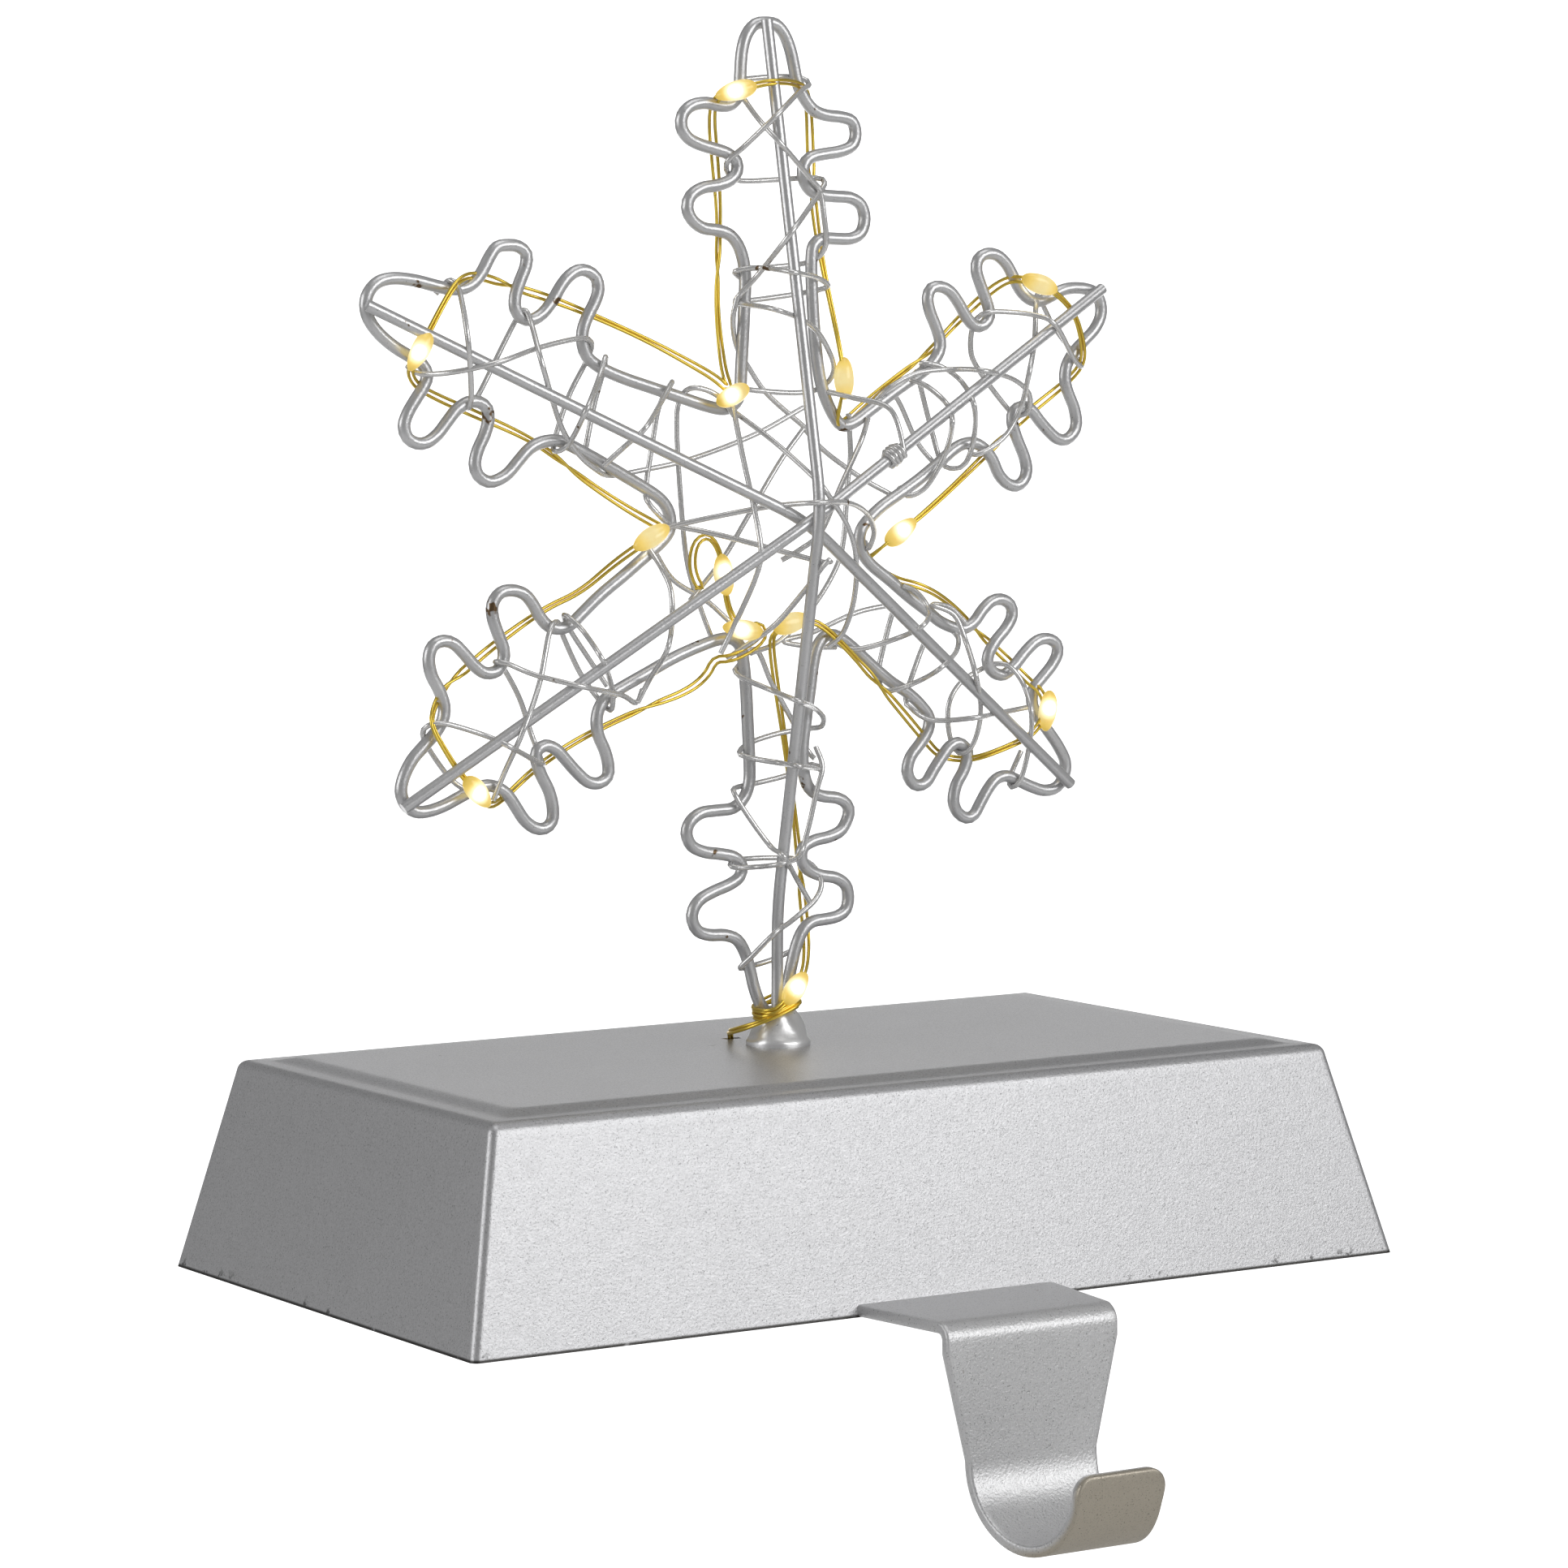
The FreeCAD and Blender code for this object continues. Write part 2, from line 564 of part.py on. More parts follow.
def battery_tray():
    half_x = tray_end()
    front, rear = tray_rows()
    back = cover_opening()[3] + TRAY_WALL
    body = box(-half_x - TRAY_WALL, half_x + TRAY_WALL, front - TRAY_WALL, back,
               FLOOR_Z, tray_top() + TRAY_WALL)
    room = box(-half_x, half_x, front, rear, FLOOR_Z - OVER, tray_top())
    hinge_room = box(-half_x, half_x, rear + TRAY_WALL, back - TRAY_WALL,
                     FLOOR_Z - OVER, FLOOR_Z + HINGE_ROOM_H)
    between = (front + rear) / 2
    rib = box(-RIB_LENGTH / 2, RIB_LENGTH / 2, between - RIB_WIDTH / 2, between + RIB_WIDTH / 2,
              tray_top() - RIB_DEPTH, tray_top())
    tray = body.cut(room).cut(hinge_room).fuse(rib)
    axis_y, axis_z = hinge_axis_y(), hinge_axis_z()
    for side in (-1, 1):
        inner = HINGE_KNUCKLE_X + HINGE_KNUCKLE_LENGTH / 2 + HINGE_SIDE_GAP
        left = min(side * inner, side * (inner + HINGE_EAR_T))
        ear = Part.makeCylinder(HINGE_KNUCKLE_R, HINGE_EAR_T, Vec(left, axis_y, axis_z), Vec(1, 0, 0))
        arm = box(left, left + HINGE_EAR_T, axis_y - HINGE_KNUCKLE_R, axis_y + HINGE_KNUCKLE_R,
                  axis_z, FLOOR_Z + HINGE_EAR_H)
        bore = Part.makeCylinder(HINGE_PIN_D / 2 + HINGE_PIN_GAP, HINGE_EAR_T,
                                 Vec(left, axis_y, axis_z), Vec(1, 0, 0))
        tray = tray.fuse(ear.fuse(arm)).cut(bore)
    return tray.removeSplitter()


def cell_axis(row):
    y = tray_rows()[0] + CELL_GAP + CELL_D / 2 + row * (CELL_D + CELL_GAP)
    return y, FLOOR_Z + CELL_GAP + CELL_D / 2


def cell(row):
    """One round cell; the two lie head to tail."""
    y, z = cell_axis(row)
    way = 1 if row == 0 else -1
    start = Vec(-way * (CELL_LENGTH + CELL_NUB_LENGTH) / 2, y, z)
    body = Part.makeCylinder(CELL_D / 2, CELL_LENGTH, start, Vec(way, 0, 0))
    nub = Part.makeCylinder(CELL_NUB_D / 2, CELL_NUB_LENGTH,
                            start + Vec(way * CELL_LENGTH, 0, 0), Vec(way, 0, 0))
    return body.fuse(nub)


def contact_sheet(end, front_row, back_row):
    """A plate standing against the tray's end wall, from one cell's row to another's."""
    x = contact_face(end)
    y0, y1 = cell_axis(front_row)[0] - CONTACT_HALF, cell_axis(back_row)[0] + CONTACT_HALF
    return box(min(x, x + end * CONTACT_SHEET), max(x, x + end * CONTACT_SHEET), y0, y1,
               FLOOR_Z + CONTACT_END_GAP, tray_top() - CONTACT_END_GAP)


def contact_face(end):
    return end * (tray_end() - CONTACT_SHEET)


def contact_leaf(end, row):
    """A springy bent leaf that presses on a cell's flat end."""
    y, z = cell_axis(row)
    y -= LEAF_WIDTH / 2
    wall_x = contact_face(end)
    tip_x = end * (CELL_LENGTH + CELL_NUB_LENGTH) / 2
    t, foot, flat = CONTACT_SHEET, CONTACT_HALF, LEAF_FLAT / 2
    points = [Vec(wall_x, y, z - foot), Vec(tip_x, y, z - flat), Vec(tip_x, y, z + flat),
              Vec(wall_x, y, z + foot), Vec(wall_x, y, z + foot - 2 * t),
              Vec(tip_x + end * t, y, z + flat / 2), Vec(tip_x + end * t, y, z - flat / 2),
              Vec(wall_x, y, z - foot + 2 * t)]
    return prism(points, Vec(0, LEAF_WIDTH, 0))


def contact_dimple(end, row):
    """The pressed stud that meets a cell's nub."""
    y, z = cell_axis(row)
    wall_x = contact_face(end)
    tip_x = end * (CELL_LENGTH + CELL_NUB_LENGTH) / 2
    return Part.makeCone(DIMPLE_BASE_D / 2, DIMPLE_TIP_D / 2, abs(wall_x - tip_x), Vec(wall_x, y, z),
                         Vec(-end, 0, 0))


def contact_bridge():
    return contact_sheet(1, 0, 1).multiFuse([contact_dimple(1, 0), contact_leaf(1, 1)])


def contact_negative():
    return contact_sheet(-1, 0, 0).fuse(contact_leaf(-1, 0))


def contact_positive():
    return contact_sheet(-1, 1, 1).fuse(contact_dimple(-1, 1))


def battery_cover():
    half_x = tray_end() - COVER_GAP
    front, rear = tray_rows()
    axis_y, axis_z = hinge_axis_y(), hinge_axis_z()
    low, high = COVER_LIFT, COVER_LIFT + COVER_THICKNESS
    lid = box(-half_x, half_x, front + COVER_GAP, rear - COVER_GAP, low, high)
    lid = lid.makeFillet(COVER_CORNER_R, upright_edges(lid))
    lid = lid.cut(Part.makeCylinder(FINGER_NOTCH_R, COVER_THICKNESS / 2, Vec(0, front + COVER_GAP, low)))
    for i in range(GRIP_GROOVES):
        y = front + GRIP_INSET + i * GRIP_PITCH
        lid = lid.cut(box(-GRIP_LENGTH / 2, GRIP_LENGTH / 2, y, y + GRIP_WIDTH, low, low + GRIP_DEPTH))
    for side in (-1, 1):
        left = side * HINGE_KNUCKLE_X - HINGE_KNUCKLE_LENGTH / 2
        knuckle = Part.makeCylinder(HINGE_KNUCKLE_R, HINGE_KNUCKLE_LENGTH,
                                    Vec(left, axis_y, axis_z), Vec(1, 0, 0))
        tongue = box(left, left + HINGE_KNUCKLE_LENGTH, rear - COVER_GAP - OVER, axis_y, low, high)
        pin_start = left + HINGE_KNUCKLE_LENGTH if side > 0 else left
        pin = Part.makeCylinder(HINGE_PIN_D / 2, HINGE_EAR_T + HINGE_SIDE_GAP,
                                Vec(pin_start, axis_y, axis_z), Vec(side, 0, 0))
        lid = lid.multiFuse([knuckle, tongue, pin])
    return lid.removeSplitter()


def switch_housing():
    x0, x1 = SWITCH_X - SWITCH_LENGTH / 2, SWITCH_X + SWITCH_LENGTH / 2
    y0, y1 = SWITCH_Y - SWITCH_WIDTH / 2, SWITCH_Y + SWITCH_WIDTH / 2
    body = box(x0, x1, y0, y1, FLOOR_Z, FLOOR_Z + SWITCH_HEIGHT)
    room = box(x0 + SWITCH_WALL, x1 - SWITCH_WALL, y0 + SWITCH_WALL, y1 - SWITCH_WALL,
               FLOOR_Z + SWITCH_WALL, FLOOR_Z + SWITCH_HEIGHT - SWITCH_WALL)
    sx0, sx1, sy0, sy1 = switch_window(SLIDER_GAP)
    slot = box(sx0, sx1, sy0, sy1, FLOOR_Z - 1, FLOOR_Z + SWITCH_WALL + 0.5)
    return body.cut(room).cut(slot)


def switch_slider():
    """The carriage inside the housing with its knob, shown at the off end of its travel."""
    x = SWITCH_X - SLIDER_TRAVEL / 2
    y_half = SWITCH_WIDTH / 2 - SWITCH_WALL - SLIDER_GAP
    low = FLOOR_Z + SWITCH_WALL + SLIDER_GAP / 3
    high = FLOOR_Z + SWITCH_HEIGHT - SWITCH_WALL - SLIDER_GAP
    carriage = box(x - SLIDER_LENGTH / 2, x + SLIDER_LENGTH / 2, SWITCH_Y - y_half, SWITCH_Y + y_half,
                   low, high)
    knob = box(x - SLIDER_KNOB / 2, x + SLIDER_KNOB / 2, SWITCH_Y - SLIDER_KNOB / 2,
               SWITCH_Y + SLIDER_KNOB / 2, EDGE_Z + 0.4, low + 0.5)
    return carriage.fuse(knob)


def control_board():
    z = FLOOR_Z + SWITCH_HEIGHT
    half_x, half_y = BOARD_WIDTH / 2, BOARD_LENGTH / 2
    board = box(SWITCH_X - half_x, SWITCH_X + half_x, SWITCH_Y - half_y, SWITCH_Y + half_y,
                z, z + BOARD_THICKNESS)
    for y in (SWITCH_Y - half_y + BOARD_HOLE_INSET, SWITCH_Y + half_y - BOARD_HOLE_INSET):
        board = board.cut(Part.makeCylinder(BOARD_HOLE_D / 2, BOARD_THICKNESS, Vec(SWITCH_X, y, z)))
    return board


def board_resistor():
    """A small resistor lying on the board, on its two bent-down legs."""
    z = board_top()
    x, y = SWITCH_X + RESISTOR_OFFSET, SWITCH_Y
    half, leg, radius = RESISTOR_LENGTH / 2, RESISTOR_LEG / 2, RESISTOR_D / 2
    body = Part.makeCylinder(radius, RESISTOR_LENGTH, Vec(x, y - half, z + radius), Vec(0, 1, 0))
    legs = [box(x - leg, x + leg, y + side * half - leg, y + side * half + leg, z, z + radius + leg)
            for side in (-1, 1)]
    return body.multiFuse(legs)


def board_top():
    return FLOOR_Z + SWITCH_HEIGHT + BOARD_THICKNESS


def lead(points):
    """A thin insulated lead of straight runs and tangent arcs."""
    route = [Vec(*p) for p in points]
    path = Part.Wire(rounded_run([(p, LEAD_BEND_R) for p in route], False))
    way = route[1].sub(route[0]).normalize()
    section = polygon_section(LEAD_D, LAMP_WIRE_SIDES, route[0], way, Vec(0, 1, 0))
    return path.makePipeShell([section], True, False)


def over_tray(share):
    """A height in the room between the tray's top and the shell."""
    low = tray_top() + TRAY_WALL
    return low + share * (TOP_Z - BASE_WALL - low)


def lead_to_board(row):
    """From the tray's end wall up over its corner, and down on the board."""
    y = cell_axis(row)[0]
    over = over_tray(LEAD_LEVELS[row])
    beside = -tray_end() - TRAY_WALL - LEAD_BESIDE_TRAY
    end_x = SWITCH_X - 3 + 4 * row
    end_y = SWITCH_Y + BOARD_LENGTH / 2 - BOARD_HOLE_INSET
    return lead([(beside, y, board_top() + 3), (beside, y, over), (end_x - 4, y - 8, over),
                 (end_x, end_y + 4, over), (end_x, end_y, over - 4), (end_x, end_y, board_top())])


def foot_cone():
    """The cone on the base; the bottom arm's tip and the upright rod's end stand in its top."""
    profile = [Vec(0, 0, FACE_Z), Vec(FOOT_D / 2, 0, FACE_Z), Vec(FOOT_D / 2, 0, FACE_Z + FOOT_RIM_H),
               Vec(FOOT_TOP_D / 2, 0, FACE_Z + FOOT_HEIGHT), Vec(0, 0, FACE_Z + FOOT_HEIGHT)]
    cone = Part.Face(Part.makePolygon(profile + [profile[0]])).revolve(Vec(0, 0, 0), Vec(0, 0, 1), 360)
    cone.translate(Vec(FOOT_X, FOOT_Y, 0))
    angle, reach = ARMS[3]
    tip = [p for p, r in arm_side(angle, reach, -1)[-2:] + arm_side(angle, reach, 1)[:-3:-1]]
    return cone.cut(thin_wire(tip, WIRE_D + 2 * SOLDER_GAP, WIRE_SIDES)).cut(ridge_rod(0, 3, 0))


def foot_stud():
    return Part.makeCylinder(FOOT_STUD_D / 2, FOOT_STUD_LENGTH,
                             Vec(FOOT_X, FOOT_Y, FACE_Z - FOOT_STUD_LENGTH))


def foot_washer():
    ceiling = TOP_Z - BASE_WALL
    place = Vec(FOOT_X, FOOT_Y, ceiling - FOOT_WASHER_T)
    ring = Part.makeCylinder(FOOT_WASHER_D / 2, FOOT_WASHER_T, place)
    return ring.cut(Part.makeCylinder(FOOT_STUD_D / 2, FOOT_WASHER_T, place))


def foot_nut():
    ceiling = TOP_Z - BASE_WALL
    place = Vec(FOOT_X, FOOT_Y, ceiling - FOOT_WASHER_T - FOOT_NUT_H)
    return hexagon_nut(FOOT_NUT_ACROSS, FOOT_NUT_H, FOOT_STUD_D, place)


def flake_point(angle, across, along, depth=0.0):
    """A point of the snowflake: along an arm, across it, and depth towards the front."""
    turn = math.radians(angle)
    x = FLAKE_X + along * math.cos(turn) - across * math.sin(turn)
    z = FLAKE_Z + along * math.sin(turn) + across * math.cos(turn)
    return Vec(x, FOOT_Y - depth, z)


def arm_side(angle, reach, side):
    """The bends up one side of an arm, from its stem to its tip, each with its radius."""
    knob_in, knob_in_low, knob_in_high, knob_in_r = INNER_KNOB
    neck, neck_low, neck_high, neck_r = NECK
    knob_out, knob_out_low, knob_out_high, knob_out_r = OUTER_KNOB
    bends = [(STEM_HALF, knob_in_low, SHOULDER_R), (knob_in, knob_in_low, knob_in_r),
             (knob_in, knob_in_high, knob_in_r), (neck, neck_low, neck_r), (neck, neck_high, neck_r),
             (knob_out, knob_out_low, knob_out_r), (knob_out, knob_out_high, knob_out_r),
             (THROAT_HALF, knob_out_high, THROAT_R), (TIP_HALF, 1, TIP_R)]
    # A shorter arm's bends keep to the room between them
    return [(flake_point(angle, side * across, share * reach), r * min(1.0, reach / ARM_REACH))
            for across, share, r in bends]


def snowflake_outline():
    path = []
    for (angle, reach), (valley_angle, valley_reach) in zip(ARMS, VALLEYS):
        path += arm_side(angle, reach, -1)
        path += reversed(arm_side(angle, reach, 1))
        path.append((flake_point(valley_angle, 0, valley_reach), VALLEY_R))
    return closed_wire([p for corner in hand_bends(path) for p in corner])


def hand_bends(path):
    """Each bend of the wire as it is bent over the pliers, in short straights."""
    for edge in rounded_run(path, True):
        if isinstance(edge.Curve, Part.Circle):
            first, last = edge.FirstParameter, edge.LastParameter
            yield [edge.valueAt(first + (last - first) * share) for share in (0.06, 0.5, 0.94)]


def closed_wire(points):
    """A closed wire of straight runs that meet in mitres, in a plane square to Y."""
    front = Vec(0, 1, 0)
    rings = []
    for i, point in enumerate(points):
        before = point.sub(points[i - 1]).normalize()
        after = points[(i + 1) % len(points)].sub(point).normalize()
        middle = (before + after).normalize()
        across = front.cross(middle) / middle.dot(after)
        ring = []
        radius = section_radius(WIRE_D, WIRE_SIDES)
        for k in range(WIRE_SIDES):
            turn = 2 * math.pi * (k + 0.5) / WIRE_SIDES
            ring.append(point + across * (radius * math.cos(turn)) + front * (radius * math.sin(turn)))
        rings.append(ring)
    faces = []
    for near, far in zip(rings, rings[1:] + rings[:1]):
        for k in range(WIRE_SIDES):
            corners = [near[k - 1], near[k], far[k], far[k - 1], near[k - 1]]
            faces.append(Part.Face(Part.makePolygon(corners)))
    return solid_of(faces)


def solid_of(faces):
    solid = Part.makeSolid(Part.makeShell(faces))
    if solid.Volume < 0:
        solid.reverse()
    return solid


def rod_depth(level):
    """How far in front of the wire's plane a rod's ends and its peak lie."""
    ends = (WIRE_D + ROD_D) * 0.55
    return ends, ROD_BOW - level * ROD_SPACING


def ridge_rod(first, second, level):
    """One straight rod, bent once over the middle; level 0 is the front one."""
    ends, peak = rod_depth(level)
    start = flake_point(ARMS[first][0], 0, ARMS[first][1] + ROD_OVERHANG, ends)
    end = flake_point(ARMS[second][0], 0, ARMS[second][1] + ROD_OVERHANG, ends)
    middle = flake_point(0, 0, 0, peak)
    path = Part.Wire(rounded_run([(start, 0), (middle, ROD_PEAK_R), (end, 0)], False))
    way = middle.sub(start).normalize()
    section = polygon_section(ROD_D, ROD_SIDES, start, way, Vec(0, 1, 0))
    return path.makePipeShell([section], True, False)


def ridge_at(along, reach, level):
    """Depth of a rod's axis at a distance from the middle."""
    ends, peak = rod_depth(level)
    return peak + (ends - peak) * along / (reach + ROD_OVERHANG)


def binding_wire(index, level):
    """The wire wound round one arm: straight across behind it, up over its ridge rod in front."""
    angle, reach = ARMS[index]
    beside = (WIRE_D + BINDING_D) * 0.55 + BINDING_REST
    points = []
    for number, station in enumerate(BINDING_STATIONS):
        along = station * reach
        left = wire_across(index, 1, station) + beside
        right = wire_across(index, -1, station) + beside
        if number:
            halfway = (along + previous) / 2
            rise = math.atan2(ridge_at(halfway, reach, level) - beside, min(left, right))
            rest = ((ROD_D + BINDING_D) * 0.55 + BINDING_REST) / math.cos(rise)
            points.append(flake_point(angle, 0, halfway, ridge_at(halfway, reach, level) + rest))
        for across, depth in ((left, beside), (left, -beside), (-right, -beside), (-right, beside)):
            points.append(flake_point(angle, across, along, depth))
        previous = along
    return thin_wire(points, BINDING_D, BINDING_SIDES)


def wire_across(index, side, station):
    """How far across its arm the outline's wire runs on one side, at a station along it."""
    angle, reach = ARMS[index]
    neck, neck_low, neck_high, neck_r = NECK
    knob_top = OUTER_KNOB[2]
    if station > knob_top:
        share = (station - knob_top) / (1 - knob_top)
        return THROAT_HALF + (TIP_HALF - THROAT_HALF) * share
    if station > neck_low:
        return neck
    valley_angle, valley_reach = VALLEYS[index if side > 0 else index - 1]
    spread = math.radians(valley_angle - angle)
    valley_across = abs(valley_reach * math.sin(spread))
    valley_station = valley_reach * math.cos(spread) / reach
    share = (station - valley_station) / (INNER_KNOB[1] - valley_station)
    return valley_across + (STEM_HALF - valley_across) * share


def thin_wire(points, size, sides):
    """Straight runs of thin wire with mitred bends."""
    path = Part.makePolygon(points)
    way = points[1].sub(points[0]).normalize()
    up = Vec(0, 0, 1) if abs(way.z) < 0.9 else Vec(1, 0, 0)
    section = polygon_section(size, sides, points[0], way, up)
    return path.makePipeShell([section], True, False, 1)


# Stretches of binding wire across the middle, as (x, depth, height above the middle)
CENTRE_WIRE = [(-19.8, 1.5, 0.8), (-10.0, 8.0, 1.4), (-1.4, 15.6, 1.6), (1.8, 15.6, 1.5),
               (10.0, 8.5, 0.6), (19.9, 1.5, -4.1), (19.9, -1.5, -4.1), (9.9, -1.5, -19.7),
               (9.9, 1.5, -19.7), (2.4, 15.5, -2.6), (-1.8, 15.5, 3.4), (-5.2, 1.5, 23.0), (-6.7, 1.5, 23.0),
               (-6.7, -1.5, 23.0)]

# The lamp string's runs, as (arm, across it, along it in hundredths of the pattern's reach, depth
# in front of the wire's plane). A run starts with the stretch that carries a lamp; then the
# string goes behind the wires until it comes to the front with the next lamp.
LAMP_RUNS = [
    [(3, 1.8, 100.9, 4.1), (3, 7.2, 94.3, 3.1), (3, 9.2, 90.6, 1.6), (3, 9.6, 88.0, -2.7),
     (3, 8.6, 74.3, -2.7), (3, 6.8, 62.9, -2.7), (3, 5.0, 48.6, -2.7), (3, 3.0, 37.1, -2.7),
     (3, 0.4, 28.6, -2.0)],
    [(3, 1.6, 25.1, -0.6), (3, 6.6, 18.3, -0.6), (4, -3.4, 21.4, -0.6), (4, -3.4, 33.4, -0.2),
     (4, -3.6, 40.9, -2.7), (4, -4.4, 55.7, -2.7), (4, -7.4, 68.6, -2.7), (4, -7.2, 78.6, -2.7),
     (4, -4.6, 87.7, -2.7), (4, 1.0, 91.1, -2.7), (4, 7.4, 89.4, -2.7), (4, 9.4, 88.0, 1.8)],
    [(4, 8.0, 84.9, 3.1), (4, 4.8, 76.0, 3.1), (4, 10.0, 67.4, 2.6), (4, 10.0, 65.1, -2.7),
     (4, 7.0, 51.4, -2.7), (4, 8.4, 41.4, -2.7), (4, 12.4, 36.6, 0.6)],
    [(4, 12.6, 31.4, 3.1), (4, 10.6, 23.4, 3.1), (5, -7.6, 26.6, 3.0), (5, -5.4, 33.7, 0.8),
     (5, -5.0, 40.3, -2.7), (5, -7.4, 65.7, -2.7), (5, -7.4, 77.1, -2.7), (5, -4.8, 87.7, -2.7),
     (5, 1.0, 91.1, -2.7), (5, 7.4, 89.7, -2.7), (5, 9.2, 88.6, 1.8)],
    [(5, 7.9, 85.7, 3.1), (5, 4.5, 77.4, 3.1), (5, 10.0, 68.0, 2.6), (5, 10.0, 65.7, -2.7),
     (5, 7.6, 51.4, -2.7), (5, 8.4, 38.6, -2.7), (0, -17.4, 28.0, 0.4)],
    [(0, -14.8, 24.6, 3.1), (0, -10.6, 32.3, 3.1), (0, -6.8, 36.0, 1.8), (0, -5.0, 40.6, -2.7),
     (0, -5.0, 52.9, -2.7), (0, -7.6, 68.6, -2.7), (0, -7.4, 80.0, -2.7), (0, -3.0, 92.3, -2.7),
     (0, 1.2, 95.1, -2.2), (0, 2.4, 94.0, 1.6)],
    [(0, 3.1, 90.0, 3.1), (0, 7.9, 82.0, 3.1), (0, 10.0, 71.7, 2.6), (0, 10.0, 69.1, -2.7),
     (0, 5.0, 54.3, -2.7), (0, 3.2, 37.1, -2.7), (0, 0.8, 24.3, -1.6), (0, 1.0, 19.4, 1.4)],
    [(0, 3.8, 21.4, 3.1), (0, 8.2, 28.0, 3.1), (1, -14.0, 31.4, 0.6), (1, -10.4, 41.4, -2.7),
     (1, -7.0, 54.3, -2.7), (1, -7.6, 71.4, -2.7), (1, -6.4, 83.7, -2.7), (1, -2.6, 92.3, -2.7),
     (1, 1.2, 94.9, -2.2), (1, 2.4, 93.7, 1.6)],
    [(1, 3.4, 90.6, 3.1), (1, 5.2, 82.0, 3.1), (1, 10.0, 71.4, 2.6), (1, 10.0, 68.6, -2.7),
     (1, 7.2, 54.3, -2.7), (1, 8.6, 40.0, -2.7), (1, 13.0, 32.0, 0.8)],
    [(1, 12.2, 26.3, 3.1), (1, 8.8, 18.3, 3.1), (2, -4.6, 23.7, 2.4), (2, -3.4, 30.0, -2.7),
     (2, -4.6, 48.6, -2.7), (2, -7.4, 65.7, -2.7), (2, -7.2, 78.6, -2.7), (2, -2.8, 92.0, -2.7),
     (2, 1.2, 94.9, -2.2), (2, 2.4, 93.7, 1.6)],
    [(2, 3.8, 89.1, 3.1), (2, 8.0, 81.4, 3.1), (2, 10.0, 71.4, 2.6), (2, 10.0, 68.6, -2.7),
     (2, 6.4, 54.3, -2.7), (2, 5.0, 40.0, -2.7), (2, 4.4, 28.6, -2.0)],
    [(3, -8.6, 18.3, 0.6), (3, -6.2, 19.4, 1.5), (3, -0.8, 24.6, 1.5), (3, 0.4, 18.6, 1.2)],
    [(3, -3.4, 13.7, 1.2), (3, -5.4, 13.7, 1.0), (3, -9.4, 8.3, 1.0), (3, -12.6, 4.9, 1.0),
     (3, -10.8, 0.9, 1.6), (3, -8.4, 4.9, 2.0)],
]


def lamp_route():
    """From the board over the tray's front, up through the hole, round the foot and over the arms."""
    over = over_tray(LAMP_RUN_LEVEL)
    board_x, board_y = SWITCH_X + 1, SWITCH_Y - RESISTOR_LENGTH
    start = [Vec(board_x, board_y, board_top()), Vec(board_x, board_y, over - 3),
             Vec(SWITCH_X + 10, SWITCH_Y + 8, over), Vec(LAMP_HOLE_X - 4, LAMP_HOLE_Y - 4, over),
             Vec(LAMP_HOLE_X, LAMP_HOLE_Y, over + 1.6), Vec(LAMP_HOLE_X, LAMP_HOLE_Y, FACE_Z + 1.2),
             Vec(FOOT_X - 5.8, FOOT_Y + 4.4, FACE_Z + 1.6), Vec(FOOT_X - 5.2, FOOT_Y - 2.8, FACE_Z + 2.6)]
    return start + [point for run in LAMP_RUNS for point in run_points(run)]


def run_points(run):
    return [flake_point(ARMS[arm][0], across, along * ARM_REACH / 100, depth)
            for arm, across, along, depth in run]


def route_radius(before, corner, after):
    """As large an arc as the two runs allow."""
    first, second = before.sub(corner), after.sub(corner)
    turn = math.pi - first.getAngle(second)
    return 0.45 * min(first.Length, second.Length) / math.tan(turn / 2)


def lamp_wires():
    route = lamp_route()
    path = [(route[0], 0)]
    for before, corner, after in zip(route, route[1:], route[2:]):
        path.append((corner, route_radius(before, corner, after)))
    path.append((route[-1], 0))
    radii = [r for p, r in path[1:-1]]
    print("lamp wire arcs from %.1f to %.1f mm" % (min(radii), max(radii)))
    run = Part.Wire(rounded_run(path, False))
    way = route[1].sub(route[0]).normalize()
    section = polygon_section(LAMP_WIRE_D, LAMP_WIRE_SIDES, route[0], way, Vec(0, 1, 0))
    wires = run.makePipeShell([section], True, False)
    expected = math.pi * (LAMP_WIRE_D / 2) ** 2 * run.Length
    print("lamp wires: length %.0f mm, volume %.1f, section times length %.1f"
          % (run.Length, wires.Volume, expected))
    return wires


def lamp(run):
    """A clear drop round the wires, at the middle of its stretch, with a straight belly."""
    start, end = run_points(run)[:2]
    way = end.sub(start).normalize()
    middle = (start + end) * 0.5
    half, belly = LAMP_LENGTH / 2, LAMP_BELLY / 2
    rings = []
    for along, size in ((-half, LAMP_END_D), (-belly, LAMP_D), (belly, LAMP_D), (half, LAMP_END_D)):
        ring = polygon_section(size, LAMP_SIDES, middle + way * along, way, Vec(0, 1, 0))
        rings.append([v.Point for v in ring.OrderedVertexes])
    outlines = [rings[0][::-1], rings[-1]]
    for near, far in zip(rings, rings[1:]):
        outlines += [[near[k - 1], near[k], far[k], far[k - 1]] for k in range(LAMP_SIDES)]
    return solid_of([Part.Face(Part.makePolygon(o + [o[0]])) for o in outlines])


def lamps():
    return Part.makeCompound([lamp(run) for run in LAMP_RUNS])


def save(name, shape):
    shape.exportStep("parts/" + name + ".step")


